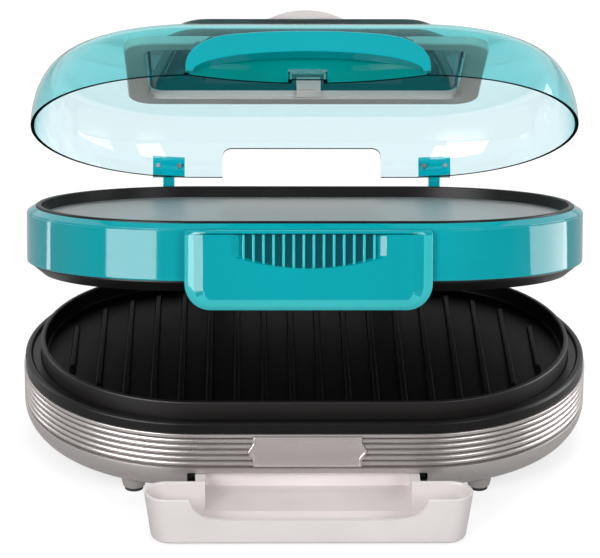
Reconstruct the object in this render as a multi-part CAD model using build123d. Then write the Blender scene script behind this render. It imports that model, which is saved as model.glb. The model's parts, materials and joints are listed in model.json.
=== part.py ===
from build123d import *
import os
from math import asin, cos, degrees, radians, sin

# Countertop hamburger maker in three decks: a ribbed base with the lower grill plate and a
# pull-out drip tray, a hinged middle that carries the upper grill plate below and the bun
# warming plate on top, and a clear hinged lid. Millimetres, +Z up, front towards -Y.
# The origin is on the counter, midway between the feet.
# Every deck is drawn closed, then the middle, the lid and the tray move to the open pose.

os.makedirs("parts", exist_ok=True)

# Open pose
middle_tilt = 15.2
lid_tilt = 21.8
tray_out = 23.6

# Outline of every deck seen from above
body_w = 338.0
body_d = 220.0
straight_half = 65.0
corner_turn = 58.0

# Clearances and working values
seat_gap = 0.3
run_gap = 0.05
over = 1.0

# Base housing
pad_h = 2.0
base_z = 8.0
skirt_top = 24.0
skirt_in = 15.0
base_top = 46.2
base_wall = 3.0
base_lip_in = 22.0
core_in = 30.0
rib_count = 6
rib_pitch = 3.6
rib_first_z = 25.0
rib_groove_w = 1.8
rib_groove_d = 1.2
rib_slope = 0.4
foot_x = 101.0
foot_y = 84.0
foot_r_low = 6.5
foot_r_high = 9.5
foot_top = 20.0
pad_r = 5.4

# Name plate and its recess
plate_half_w = 34.5
plate_low = 25.6
plate_high = 44.8
plate_t = 2.2
plate_recess = 1.6
plate_notch = 3.2
plate_shoulder = 4.0

# Bezel round the lower plate
bezel_in = 1.0
bezel_h = 7.2
bezel_chamfer = 1.4
bezel_land = 2.0
bezel_groove_d = 2.0
bezel_ledge_in = 28.0
bezel_ledge_t = 2.5
bezel_spigot = 2.2

# Lower grill plate
grill_in = 10.5
grill_wall = 2.8
grill_floor_t = 3.0
grill_rim_h = 13.6
grill_rib_pitch = 16.3
grill_rib_pairs = 9
grill_rib_h = 3.0
grill_rib_foot = 4.2
grill_rib_crest = 2.8
grill_rib_in = 24.0
drain_w = 10.0
drain_d = 7.0
drain_y = -84.0

# Heaters, thermostats, reflector
heater_r = 3.5
heater_in = 45.0
heater_gap_half = 20.0
terminal_r = 2.0
terminal_l = 9.0
stat_r = 9.0
stat_h = 4.0
stat_neck_r = 5.5
stat_neck_h = 5.0
reflector_in = 33.0
reflector_t = 1.0
reflector_lip = 3.0
reflector_z = 34.0
standoff_x = 88.0
standoff_y = 45.0
standoff_r = 4.0

# Bottom cover and screws
cover_t = 2.0
cover_in = 18.0
boss_r = 4.5
boss_angle = 30.0
screw_r = 1.5
screw_head_r = 3.0
screw_head_h = 1.4
screw_depth = 14.0

# Drip tray, drawn pushed in
tray_half_w = 93.3
tray_end_r = 12.9
tray_front_d = 25.8
tray_top = 29.0
tray_low = 1.0
tray_draft = 3.8
tray_wall = 2.4
tray_floor_t = 2.4
tray_front_gap = 0.8
scoop_half = 62.0
scoop_side = 11.0
scoop_shoulder = 9.4
scoop_depth = 12.8
scoop_corner = 9.0
channel_half = 64.7
channel_wall = 5.8
channel_back_y = -77.4
channel_top = 21.0

# Tray bay
slot_half = 69.5
slot_top = 21.8
bay_wall = 2.4
bay_roof_gap = 1.4
bay_back_gap = 3.0
bay_front_gap = 1.0
bay_roof_in = 6.0
tongue_in = 3.0
spout_r = 5.5
spout_bore = 3.6

# Cord gland and terminal block at the back
gland_r = 5.5
gland_bore = 3.5
gland_flange_r = 8.0
gland_flange_t = 2.0
gland_z = 34.0
gland_pad_half = 12.0
gland_body_l = 9.0
block_w = 34.0
block_d = 16.0
block_h = 13.0
block_wire_r = 2.2
block_x = 30.0
block_y = 76.0

# Main hinge
main_y = 132.0
main_z = 55.0
main_pin_r = 3.0
main_knuckle_r = 7.0
main_x = 52.0
main_arm_w = 10.0
main_side_gap = 1.0
main_ear_t = 6.0
main_pin_proud = 1.0
bracket_low = 27.0
bracket_top = 45.5
bracket_depth = 14.0
arm_pad_t = 3.0
arm_pad_w = 24.0
arm_pad_low = 2.0
arm_pad_h = 22.0
arm_top_r = 9.0
arm_top_back = 9.2
arm_top_up = 13.8

# Middle deck
middle_z = 72.8
middle_in = 2.7
middle_h = 32.6
middle_wall = 2.8
middle_bevel_w = 4.6
middle_bevel_h = 2.6
middle_flange_in = 10.0
middle_flange_t = 3.0
frame_drop = 6.9
frame_lip_in = 5.3
frame_lip_t = 1.2
frame_foot_in = 12.2
frame_wall = 2.6
frame_flange_in = 27.0
frame_flange_t = 2.0
frame_flange_out = 7.2
upper_floor_t = 3.0
upper_rim_drop = 6.0
middle_boss_in = 21.0
rim_in = 8.5
rim_wall = 3.0
rim_proud = 1.2
rim_round = 0.8
rim_depth = 6.6
rim_seat_in = 16.0
rim_flange_in = 27.0
rim_flange_t = 2.0
bun_t = 1.6
bun_head_room = 1.6

# Front handle
handle_half = 70.5
handle_front = 9.7
handle_drop = 16.0
handle_rise = 30.2
handle_corner = 15.0
handle_top_corner = 3.0
handle_bevel = 4.2
handle_bevel_w = 5.6
handle_wall = 2.5
lens_half = 44.0
lens_rise = 27.9
lens_depth = 19.3
lens_side = 12.7
lens_corner = 8.0
lens_cut = 3.4
fin_count = 14
fin_pitch = 5.7
fin_w = 2.4
fin_below_face = 0.5
backing_t = 1.6
backing_rise = 6.0

# Lid hinge
lid_y = 118.0
lid_z = 94.0
lid_pin_r = 2.0
lid_knuckle_r = 5.5
lid_hinge_x = 84.0
lid_arm_w = 7.0
lid_side_gap = 0.5
lug_t = 4.0
lug_root_h = 15.0
lid_pin_proud = 1.0
lid_arm_top_r = 5.5
lid_arm_top_back = 7.5
lid_arm_top_up = 20.0
lid_pad_w = 20.0
lid_pad_h = 12.0
lid_pad_t = 3.0

# Clear lid
lid_seat = 0.4
lid_in = 4.5
lid_curve_w = 20.0
lid_h = 36.5
lid_wall = 2.2
recess_half = 68.0
recess_deep = 15.5
recess_h = 22.0
nub_half = 11.3
nub_deep = 6.5
nub_h = 6.0
cut_half = 50.0
cut_h = 18.2
cut_corner = 6.0
hump_half = 94.0
hump_front = -66.0
hump_back = 46.0
hump_h = 13.0
hump_side_in = 20.0
hump_end_in = 7.0
hump_corner = 22.0

# Visor handle over the recess
visor_half = 70.0
visor_h = 26.5
visor_corner_w = 33.0
visor_corner_h = 20.0
visor_corner_turn = 80.0
visor_crown = 2.0
visor_lean_h = 5.0
visor_open_half = 65.5
visor_open_h = 12.5
visor_front = 109.5
visor_lift = 1.0
visor_lean = 4.0
visor_depth = 12.0

# Frame, tab and cap of the lid
frame_half = 107.0
frame_front = -72.0
frame_back = 44.0
frame_bar = 12.5
frame_t = 5.2
frame_corner = 16.0
frame_chamfer = 1.6
tab_w = 14.7
tab_x = 3.0
tab_gap = 0.4
tab_t = 2.4
tab_l = 18.0
tab_step_t = 1.2
tab_step_l = 7.0
cap_r = 32.0
cap_edge = 3.0
cap_h = 14.0
cap_y = -25.0

# Sizes that follow
half_w = body_w / 2
half_d = body_d / 2
turn_sin = sin(radians(corner_turn))
turn_cos = cos(radians(corner_turn))
side_reach = half_w - straight_half
fit = turn_sin * turn_cos - (1 - turn_sin) * (1 - turn_cos)
corner_r = (side_reach * turn_cos - (1 - turn_sin) * half_d) / fit
end_r = (turn_sin * half_d - (1 - turn_cos) * side_reach) / fit
corner_y = half_d - corner_r
end_x = half_w - end_r
end_turn = 90 - corner_turn

cover_z = base_z - cover_t
boss_in = base_lip_in + boss_r + seat_gap
channel_low = base_z + seat_gap
bezel_top = base_top + bezel_h
bezel_seat = base_top + bezel_spigot
grill_z = bezel_seat
grill_top = grill_z + grill_floor_t
grill_rim_top = grill_z + grill_rim_h
frame_low = middle_z - frame_drop
flange_top = middle_z + middle_flange_t
frame_top = flange_top + frame_flange_t
upper_z = flange_top - upper_floor_t
middle_top = middle_z + middle_h
rim_top = middle_top + rim_proud
lid_rim_z = rim_top + lid_seat
bun_top = rim_top - rim_depth
bun_z = bun_top - bun_t
rim_flange_top = bun_z - bun_head_room
rim_low = rim_flange_top - rim_flange_t
lid_top = lid_rim_z + lid_h
lid_under = lid_top - lid_wall
hump_top = lid_top + hump_h
front_y = middle_in - half_d
back_y = half_d - middle_in
tray_back_y = -half_d - tray_front_gap
tray_front_y = tray_back_y - tray_front_d
bay_roof = slot_top + bay_roof_gap


def strip(*points):
    """Closed flat face through the given points."""
    return make_face(Polyline(*points, close=True))


def outline(inset):
    """Flat face inside the deck outline, moved inwards by inset."""
    depth = half_d - inset
    right = [
        CenterArc((straight_half, corner_y), corner_r - inset, end_turn, corner_turn),
        CenterArc((end_x, 0), end_r - inset, -end_turn, 2 * end_turn),
        CenterArc((straight_half, -corner_y), corner_r - inset, -90, corner_turn),
    ]
    left = [edge.mirror(Plane.YZ) for edge in right]
    back = Line((-straight_half, depth), (straight_half, depth))
    front = Line((-straight_half, -depth), (straight_half, -depth))
    return make_face([back, front, *right, *left])


def slab(inset, low, high):
    """Deck-shaped plate between two heights."""
    return extrude(Pos(0, 0, low) * outline(inset), high - low)


def around(face):
    """Carry a cross-section once round the outline.

    The face is drawn with x as the distance outside the outline and y as the height.
    """
    back = Plane(origin=(-straight_half, half_d, 0), x_dir=(0, 1, 0), z_dir=(1, 0, 0)) * face
    run = extrude(back, 2 * straight_half, dir=(1, 0, 0))
    corner = Plane(origin=(straight_half, half_d, 0), x_dir=(0, 1, 0), z_dir=(1, 0, 0)) * face
    corner = revolve(corner, Axis((straight_half, corner_y, 0), (0, 0, -1)), corner_turn)
    aim = (cos(radians(end_turn)), sin(radians(end_turn)), 0)
    start = (end_x + end_r * aim[0], end_r * aim[1], 0)
    end = Plane(origin=start, x_dir=aim, z_dir=(aim[1], -aim[0], 0)) * face
    end = revolve(end, Axis((end_x, 0, 0), (0, 0, -1)), 2 * end_turn)
    pieces = [run, corner, corner.mirror(Plane.YZ)]
    pieces += [piece.mirror(Plane.XZ) for piece in pieces]
    pieces += [end, end.mirror(Plane.YZ)]
    return pieces[0] + pieces[1:]


def ring(out_in, wall, low, high):
    """Upright wall along the outline."""
    return slab(out_in, low, high) - slab(out_in + wall, low - over, high + over)


def dome(inset, low, curve_w, height):
    """Solid whose sides rise as a quarter ellipse to a flat top."""
    centre = (-inset - curve_w, low)
    curve = EllipticalCenterArc(centre, curve_w, height, 0, arc_size=90)
    base = Line(centre, (-inset, low))
    inner = Line((-inset - curve_w, low + height), centre)
    edge = around(make_face([base, curve, inner]))
    return edge + slab(inset + curve_w, low, low + height)


def block(x0, x1, y0, y1, z0, z1):
    """Box between corner values."""
    size = (x1 - x0, y1 - y0, z1 - z0)
    middle = ((x0 + x1) / 2, (y0 + y1) / 2, (z0 + z1) / 2)
    return Pos(*middle) * Box(*size)


def rod(radius, x, y, z0, z1):
    """Upright round rod."""
    return Pos(x, y, (z0 + z1) / 2) * Cylinder(radius, z1 - z0)


def rod_x(radius, x0, x1, y, z):
    """Round rod along X."""
    return Pos((x0 + x1) / 2, y, z) * Rot(0, 90, 0) * Cylinder(radius, x1 - x0)


def rod_y(radius, x, y0, y1, z):
    """Round rod along Y."""
    return Pos(x, (y0 + y1) / 2, z) * Rot(90, 0, 0) * Cylinder(radius, y1 - y0)


def plate_x(face, x0, x1):
    """Side profile, drawn as (Y, Z), given a thickness along X."""
    plane = Plane(origin=(x0, 0, 0), x_dir=(0, 1, 0), z_dir=(1, 0, 0))
    return extrude(plane * face, x1 - x0, dir=(1, 0, 0))


def upright(face, y):
    """Front profile, drawn as (X, Z), stood up at y."""
    return Plane(origin=(0, y, 0), x_dir=(1, 0, 0), z_dir=(0, -1, 0)) * face


def plate_y(face, y0, y1):
    """Front profile, drawn as (X, Z), given a thickness along Y."""
    return extrude(upright(face, y0), y1 - y0, dir=(0, 1, 0))


def link(y0, z0, r0, y1, z1, r1):
    """Face of a lever between two round ends, drawn as (Y, Z)."""
    ends = [Pos(y0, z0) * Edge.make_circle(r0), Pos(y1, z1) * Edge.make_circle(r1)]
    return make_hull(ends)


def both_sides(part):
    """The part and its mirror image across the middle plane."""
    return [part, part.mirror(Plane.YZ)]


def four_corners(inset):
    """Screw places, inset from the outline near its four corners."""
    reach = end_r - inset
    x = end_x + reach * cos(radians(boss_angle))
    y = reach * sin(radians(boss_angle))
    return [(sx * x, sy * y) for sx in (-1, 1) for sy in (-1, 1)]


def save(parts, name):
    """Write one named piece, or one group of like pieces."""
    shapes = parts if isinstance(parts, list) else [parts]
    solids = [solid for shape in shapes for solid in shape.solids()]
    shape = solids[0] if len(solids) == 1 else Compound(children=solids)
    export_step(shape, f"parts/{name}.step")


def lift_middle(part):
    """Turn a piece of the middle deck from closed to the open pose."""
    return part.rotate(Axis((0, main_y, main_z), (1, 0, 0)), -middle_tilt)


def lift_lid(part):
    """Turn a piece of the lid with the lid hinge, then with the middle."""
    return lift_middle(part.rotate(Axis((0, lid_y, lid_z), (1, 0, 0)), -lid_tilt))


# Base


def base_section():
    """Outer cross-section of the ribbed base: rounded skirt, then grooves up to the bezel."""
    skirt = (-skirt_in, skirt_top)
    rise = EllipticalCenterArc(skirt, skirt_in, skirt_top - base_z, -90, arc_size=90)
    wall = [(0, skirt_top)]
    for rib in range(rib_count):
        low = rib_first_z + rib * rib_pitch
        high = low + rib_groove_w
        wall.append((0, low))
        wall.append((-rib_groove_d, low + rib_slope))
        wall.append((-rib_groove_d, high - rib_slope))
        wall.append((0, high))
    wall += [(0, base_top), (-core_in, base_top), (-core_in, base_z), (-skirt_in, base_z)]
    return make_face([rise, Polyline(*wall)])


def base_cavity():
    """Inside of the base housing, open at the top and within the bottom lip."""
    skirt = (-skirt_in, skirt_top)
    drop = skirt_top - base_z - base_wall
    rise = EllipticalCenterArc(skirt, skirt_in - base_wall, drop, -90, arc_size=90)
    low = base_z + base_wall
    wall = Polyline(
        (-base_wall, skirt_top),
        (-base_wall, base_top + over),
        (-core_in, base_top + over),
        (-core_in, base_z - over),
        (-base_lip_in, base_z - over),
        (-base_lip_in, low),
        (-skirt_in, low),
    )
    edge = around(make_face([rise, wall]))
    return edge + slab(core_in, base_z - over, base_top + over)


def name_plate_face(grow):
    """Plate outline with bracket-shaped ends, drawn as (X, Z)."""
    half = plate_half_w + grow
    low = plate_low - grow
    high = plate_high + grow
    mid = (plate_low + plate_high) / 2
    right = [
        (half - plate_notch, low),
        (half - plate_notch, low + plate_shoulder),
        (half, mid),
        (half - plate_notch, high - plate_shoulder),
        (half - plate_notch, high),
    ]
    left = [(-x, z) for x, z in reversed(right)]
    return strip(*right, *left)


def make_base_housing():
    body = around(base_section()) + slab(core_in, base_z, base_top)
    cone = Cone(foot_r_low, foot_r_high, foot_top - pad_h)
    middle = (foot_top + pad_h) / 2
    body += [Pos(sx * foot_x, sy * foot_y, middle) * cone for sx in (-1, 1) for sy in (-1, 1)]
    pad_low = gland_z - gland_pad_half
    pad_high = gland_z + gland_pad_half
    pad_y = half_d - base_wall
    body += block(-gland_pad_half, gland_pad_half, pad_y, half_d, pad_low, pad_high)
    body -= base_cavity()
    body -= block(-slot_half, slot_half, -half_d - over, base_lip_in - half_d, base_z - over, slot_top)
    recess_y = plate_recess - half_d
    body -= plate_y(name_plate_face(seat_gap), -half_d - over, recess_y)
    body -= rod_y(gland_r + seat_gap, 0, pad_y - over, half_d + over, gland_z)
    for x, z in bracket_screws():
        body -= rod_y(screw_r + run_gap, x, pad_y - over, half_d + over, z)
    return body


def make_name_plate():
    plate = plate_y(name_plate_face(0), -half_d - plate_t + plate_recess, plate_recess - half_d)
    edges = plate.faces().sort_by(Axis.Y)[0].edges()
    return chamfer(edges, plate_t - plate_recess - run_gap)


def make_bezel():
    """Bezel with a chamfered crown, a gutter and the ledge that carries the grill plate."""
    crown = bezel_in + bezel_chamfer
    gutter = crown + bezel_land
    side = grill_in - seat_gap
    gutter_z = bezel_top - bezel_groove_d
    spigot = base_wall + seat_gap
    section = strip(
        (-bezel_in, base_top),
        (-bezel_in, bezel_top - bezel_chamfer),
        (-crown, bezel_top),
        (-gutter, bezel_top),
        (-gutter - bezel_groove_d / 2, gutter_z),
        (-side, gutter_z),
        (-side, bezel_seat),
        (-bezel_ledge_in, bezel_seat),
        (-bezel_ledge_in, bezel_seat - bezel_ledge_t),
        (-spigot, bezel_seat - bezel_ledge_t - bezel_spigot / 2),
        (-spigot, base_top),
    )
    body = around(section)
    for x, y in four_corners(boss_in):
        body += rod(boss_r, x, y, base_z, bezel_seat - bezel_ledge_t / 2)
        body -= rod(screw_r + run_gap, x, y, base_z - over, base_z + screw_depth + over)
    return body - rod(spout_r + seat_gap, 0, drain_y, base_z, bezel_seat + over)


def grill_ribs(low, high):
    """Front-to-back grill ribs between two heights, the crest at high."""
    foot = grill_rib_foot / 2
    crest = grill_rib_crest / 2
    ribs = []
    for pair in range(grill_rib_pairs):
        x = (pair + 1 / 2) * grill_rib_pitch
        face = strip((x - foot, low), (x + foot, low), (x + crest, high), (x - crest, high))
        ribs += both_sides(plate_y(face, -half_d, half_d))
    room = slab(grill_rib_in, min(low, high) - over, max(low, high) + over)
    return [rib & room for rib in ribs]


def make_lower_grill_plate():
    body = slab(grill_in, grill_z, grill_top)
    body += ring(grill_in, grill_wall, grill_z, grill_rim_top)
    body += grill_ribs(grill_top - over / 2, grill_top + grill_rib_h)
    half = drain_w / 2
    reach = drain_d / 2
    hole = block(-half, half, drain_y - reach, drain_y + reach, grill_z - over, grill_top + grill_rib_h)
    return body - hole


def make_heater(z, down):
    """Round heating element that follows the plate, open at the back, with two terminals."""
    face = Pos(-heater_in, z) * Face(Wire(Edge.make_circle(heater_r)))
    body = around(face)
    back = half_d - heater_in
    reach = heater_r + over
    body -= block(-heater_gap_half, heater_gap_half, back - reach, back + reach, z - reach, z + reach)
    x = heater_gap_half + terminal_r + over
    far = z - terminal_l if down else z + terminal_l
    pins = [rod(terminal_r, sx * x, back, min(z, far), max(z, far)) for sx in (-1, 1)]
    return body + pins


def make_thermostat(face_z, down):
    """Disc thermostat held against a plate."""
    sign = -1 if down else 1
    disc = face_z + sign * stat_h
    neck = disc + sign * stat_neck_h
    body = rod(stat_r, 0, 0, min(face_z, disc), max(face_z, disc))
    return body + rod(stat_neck_r, 0, 0, min(disc, neck), max(disc, neck))


def make_reflector():
    """Shallow sheet dish under the lower heater."""
    body = slab(reflector_in, reflector_z, reflector_z + reflector_t)
    return body + ring(reflector_in, reflector_t, reflector_z, reflector_z + reflector_t + reflector_lip)


def make_bottom_cover():
    body = slab(cover_in, cover_z, base_z)
    body += block(-slot_half, slot_half, tongue_in - half_d, 0, cover_z, base_z)
    for x, y in four_corners(boss_in):
        body -= rod(screw_r + seat_gap, x, y, cover_z - over, base_z + over)
    foot_share = (base_z - pad_h) / (foot_top - pad_h)
    foot_r = foot_r_low + (foot_r_high - foot_r_low) * foot_share
    for sx in (-1, 1):
        for sy in (-1, 1):
            body -= rod(foot_r + seat_gap, sx * foot_x, sy * foot_y, cover_z - over, base_z + over)
            body += rod(standoff_r, sx * standoff_x, sy * standoff_y, cover_z, reflector_z)
    return body


def make_foot_pads():
    pad = Cylinder(pad_r, pad_h)
    return [Pos(sx * foot_x, sy * foot_y, pad_h / 2) * pad for sx in (-1, 1) for sy in (-1, 1)]


def make_tray_bay():
    """Box that closes the tray slot off inside the base, with the hole for the drain spout."""
    outer = slot_half + bay_wall
    back = channel_back_y + bay_back_gap
    front = base_lip_in + bay_front_gap - half_d
    body = block(-outer, outer, front, back + bay_wall, base_z, bay_roof + bay_wall)
    body += block(-outer, outer, bay_roof_in - half_d, back, bay_roof, bay_roof + bay_wall)
    body -= block(-slot_half, slot_half, front - over, back, base_z - over, bay_roof)
    return body - rod(spout_r + seat_gap, 0, drain_y, bay_roof - over, bay_roof + bay_wall + over)


def make_drain_spout():
    low = channel_top + over
    tube = rod(spout_r, 0, drain_y, low, grill_z)
    return tube - rod(spout_bore, 0, drain_y, low - over, grill_z + over)


def make_gland():
    wall = half_d - gland_body_l
    body = rod_y(gland_r, 0, wall, half_d + gland_flange_t / 2, gland_z)
    body += rod_y(gland_flange_r, 0, half_d, half_d + gland_flange_t, gland_z)
    return body - rod_y(gland_bore, 0, wall - over, half_d + gland_flange_t + over, gland_z)


def make_terminal_block():
    """Three-way block on the bottom cover, with its wire holes."""
    half = block_w / 2
    reach = block_d / 2
    body = block(block_x - half, block_x + half, block_y - reach, block_y + reach, base_z, base_z + block_h)
    ways = 3
    for way in range(ways):
        x = block_x + (way - 1) * block_w / ways
        z = base_z + block_h / 2
        body -= rod_y(block_wire_r, x, block_y - reach - over, block_y + reach + over, z)
    return body


# Main hinge


def bracket_screws():
    """Screw places (X, Z) of both base brackets."""
    x = main_x - main_ear_t
    z = (bracket_low + bracket_top) / 2
    return [(side * (x + step * main_ear_t * 2), z) for side in (-1, 1) for step in (0, 1)]


def make_bracket():
    """Right-hand clevis behind the base: a foot against the housing and two ears."""
    inner = main_arm_w / 2 + main_side_gap
    outer = inner + main_ear_t
    foot = strip(
        (half_d, bracket_low),
        (half_d + bracket_depth, bracket_low + bracket_depth / 2),
        (half_d + bracket_depth, bracket_top),
        (half_d, bracket_top),
    )
    body = plate_x(foot, main_x - outer, main_x + outer)
    root = bracket_depth / 2
    ear = link(main_y, main_z, main_knuckle_r, half_d + root, bracket_top - root, root)
    for low, high in ((-outer, -inner), (inner, outer)):
        body += plate_x(ear, main_x + low, main_x + high)
    body -= rod_x(main_pin_r + run_gap, main_x - outer - over, main_x + outer + over, main_y, main_z)
    for x, z in bracket_screws():
        body -= rod_y(screw_r + run_gap, x, half_d - over, half_d + screw_depth / 2, z)
    return body


def make_main_pins():
    reach = main_arm_w / 2 + main_side_gap + main_ear_t + main_pin_proud
    return both_sides(rod_x(main_pin_r, main_x - reach, main_x + reach, main_y, main_z))


def arm_screws():
    """Screw places (X, Z) of both middle hinge arms."""
    x = arm_pad_w / 2 - screw_head_r
    z = middle_z + arm_pad_low + arm_pad_h / 2
    return [(side * (main_x + step * x), z) for side in (-1, 1) for step in (-1, 1)]


def make_middle_arm():
    """Right-hand arm from the back of the middle down to the main pin."""
    low = middle_z + arm_pad_low
    high = low + arm_pad_h
    half = main_arm_w / 2
    pad = arm_pad_w / 2
    top_y = back_y + arm_top_back
    body = plate_x(
        link(main_y, main_z, main_knuckle_r, top_y, middle_z + arm_top_up, arm_top_r),
        main_x - half,
        main_x + half,
    )
    body += block(main_x - half, main_x + half, back_y - over, top_y, middle_z + arm_top_up - arm_top_r, high - over)
    body += block(main_x - pad, main_x + pad, back_y - arm_pad_t, back_y + arm_pad_t, low, high)
    body -= slab(middle_in, low - over, high + over)
    body -= rod_x(main_pin_r + run_gap, main_x - half - over, main_x + half + over, main_y, main_z)
    for x, z in arm_screws():
        body -= rod_y(screw_r + run_gap, x, back_y - arm_pad_t - over, back_y + arm_pad_t + over, z)
    return body


# Middle deck


def middle_outer():
    """Outside of the middle housing, filled."""
    section = strip(
        (-middle_in, middle_z),
        (-middle_in, middle_top - middle_bevel_h),
        (-middle_in - middle_bevel_w, middle_top),
        (-core_in, middle_top),
        (-core_in, middle_z),
    )
    return around(section) + slab(core_in, middle_z, middle_top)


def make_middle_housing():
    """Coloured ring with a bevelled top edge and a turned-in bottom flange."""
    wall = middle_in + middle_wall
    lip = rim_in - seat_gap
    section = strip(
        (-middle_in, middle_z),
        (-middle_in, middle_top - middle_bevel_h),
        (-middle_in - middle_bevel_w, middle_top),
        (-lip, middle_top),
        (-lip, middle_top - middle_wall),
        (-middle_in - middle_bevel_w, middle_top - middle_wall),
        (-wall, middle_top - middle_bevel_h - middle_wall / 2),
        (-wall, flange_top),
        (-middle_flange_in, flange_top),
        (-middle_flange_in, middle_z),
    )
    body = around(section)
    for x, z in arm_screws():
        body -= rod_y(screw_r + run_gap, x, back_y - middle_wall - over, back_y + over, z)
    for x, z in lug_screws():
        body -= rod_y(screw_r + run_gap, x, back_y - screw_depth, back_y + over, z)
    return body


def make_lower_frame():
    """Dark frame below the middle, its flange resting inside the housing, with screw bosses."""
    side = middle_flange_in + seat_gap
    inner = frame_foot_in + frame_wall
    section = strip(
        (-frame_foot_in, frame_low),
        (-frame_lip_in, middle_z - frame_lip_t),
        (-frame_lip_in, middle_z),
        (-side, middle_z),
        (-side, flange_top),
        (-frame_flange_out, flange_top),
        (-frame_flange_out, frame_top),
        (-frame_flange_in, frame_top),
        (-frame_flange_in, flange_top),
        (-inner, flange_top),
        (-inner, frame_low),
    )
    body = around(section)
    for x, y in four_corners(middle_boss_in):
        body += rod(boss_r, x, y, flange_top, rim_low)
        body -= rod(screw_r + run_gap, x, y, rim_low - screw_depth, rim_low + over)
    return body


def make_upper_grill_plate():
    out_in = frame_foot_in + frame_wall + seat_gap
    body = slab(out_in, upper_z, flange_top)
    body += ring(out_in, grill_wall, upper_z - upper_rim_drop, flange_top)
    return body + grill_ribs(upper_z + over / 2, upper_z - grill_rib_h)


def make_bun_rim():
    """Dark rim of the bun tray, with the flange that holds the bun plate."""
    inner = rim_in + rim_wall
    section = strip(
        (-rim_in, rim_low),
        (-rim_in, rim_top - rim_round),
        (-rim_in - rim_round, rim_top),
        (-inner + rim_round, rim_top),
        (-inner, rim_top - rim_round),
        (-inner, bun_z),
        (-rim_seat_in, bun_z),
        (-rim_seat_in, rim_flange_top),
        (-rim_flange_in, rim_flange_top),
        (-rim_flange_in, rim_low),
    )
    body = around(section)
    for x, y in four_corners(middle_boss_in):
        body -= rod(screw_r + seat_gap, x, y, rim_low - over, rim_flange_top + over)
    return body


def make_bun_plate():
    return slab(rim_in + rim_wall + seat_gap, bun_z, bun_top)


# Front handle


def handle_face(inset):
    """Front outline of the handle flap, drawn as (X, Z)."""
    half = handle_half - inset
    low = middle_z - handle_drop + inset
    high = middle_z + handle_rise - inset
    face = strip((-half, low), (half, low), (half, high), (-half, high))
    corners = face.vertices().sort_by(Axis.Y)
    face = fillet(corners[:2], handle_corner - inset)
    corners = [v for v in face.vertices() if v.Y > high - over]
    return fillet(corners, handle_top_corner)


def lens_face(grow):
    """Grip recess: straight top, short sides, rounded corners and an arc below, drawn as (X, Z)."""
    top = middle_z + lens_rise + grow
    half = lens_half + grow
    low = middle_z + lens_rise - lens_depth - grow
    side = middle_z + lens_rise - lens_side - grow
    sides = Polyline((-half, side), (-half, top), (half, top), (half, side))
    face = make_face([sides, ThreePointArc((-half, side), (0, low), (half, side))])
    corners = face.vertices().sort_by(Axis.Y)[:2]
    return fillet(corners, lens_corner + grow)


def make_front_handle():
    """Hollow flap with bevelled edges and a lens-shaped grip filled with upright fins."""
    face_y = front_y - handle_front
    step_y = face_y + handle_bevel
    shell = plate_y(handle_face(0), step_y, front_y + middle_bevel_w)
    shell += loft([upright(handle_face(0), step_y), upright(handle_face(handle_bevel_w), face_y)], ruled=True)
    below = middle_z - handle_drop - over
    shell -= block(-handle_half - over, handle_half + over, front_y, front_y + core_in, below, middle_z)
    pocket_y = face_y + handle_wall
    hollow = plate_y(handle_face(handle_bevel_w), pocket_y, front_y + handle_bevel)
    seat_y = face_y + lens_cut
    grip = plate_y(lens_face(0), face_y - over, seat_y)
    backing = plate_y(lens_face(handle_wall), face_y + over, seat_y + handle_wall)
    body = shell - hollow + (backing & shell) - grip
    fins = []
    reach = (fin_count - 1) / 2
    room = plate_y(lens_face(run_gap), face_y, seat_y + over)
    for fin in range(fin_count):
        x = (fin - reach) * fin_pitch
        low = middle_z + lens_rise - lens_depth - over
        high = middle_z + lens_rise + over
        bar = block(x - fin_w / 2, x + fin_w / 2, face_y + fin_below_face, seat_y + over / 2, low, high)
        fins.append(bar & room)
    body += fins
    return body - middle_outer()


def make_handle_backing():
    """Plate that closes the flap from behind, below the middle."""
    half = handle_half - handle_bevel_w - seat_gap
    low = middle_z - handle_drop + handle_bevel_w + seat_gap
    high = middle_z + backing_rise
    face = strip((-half, low), (half, low), (half, high), (-half, high))
    corners = face.vertices().sort_by(Axis.Y)[:2]
    face = fillet(corners, handle_corner - handle_bevel_w)
    return plate_y(face, front_y - backing_t, front_y)


# Lid hinge


def lug_screws():
    """Screw places (X, Z) of the lid hinge lugs."""
    z = lid_z - lug_root_h / 2
    return [(side * lid_hinge_x, z) for side in (-1, 1)]


def make_lid_lugs():
    """Pair of lugs each side, on a foot against the back of the middle."""
    inner = lid_arm_w / 2 + lid_side_gap
    outer = inner + lug_t
    low = lid_z - lug_root_h
    root = strip(
        (back_y - screw_depth, low),
        (back_y + lug_t, low),
        (lid_y, lid_z),
        (lid_y, lid_z + over),
        (back_y - screw_depth, lid_z + over),
    )
    eye = Pos(lid_y, lid_z) * Face(Wire(Edge.make_circle(lid_knuckle_r)))
    foot = block(
        lid_hinge_x - outer, lid_hinge_x + outer, back_y - screw_depth, back_y + lug_t / 2, low, low + lug_root_h / 2
    )
    body = foot
    for start, stop in ((-outer, -inner), (inner, outer)):
        body += plate_x(root, lid_hinge_x + start, lid_hinge_x + stop)
        body += plate_x(eye, lid_hinge_x + start, lid_hinge_x + stop)
    body -= slab(middle_in, middle_z - over, middle_top)
    reach = outer + over
    body -= rod_x(lid_pin_r + run_gap, lid_hinge_x - reach, lid_hinge_x + reach, lid_y, lid_z)
    for x, z in lug_screws():
        body -= rod_y(screw_r + run_gap, x, back_y - screw_depth, back_y + lug_t, z)
    return both_sides(body)


def make_lid_pins():
    reach = lid_arm_w / 2 + lid_side_gap + lug_t + lid_pin_proud
    return both_sides(rod_x(lid_pin_r, lid_hinge_x - reach, lid_hinge_x + reach, lid_y, lid_z))


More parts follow.
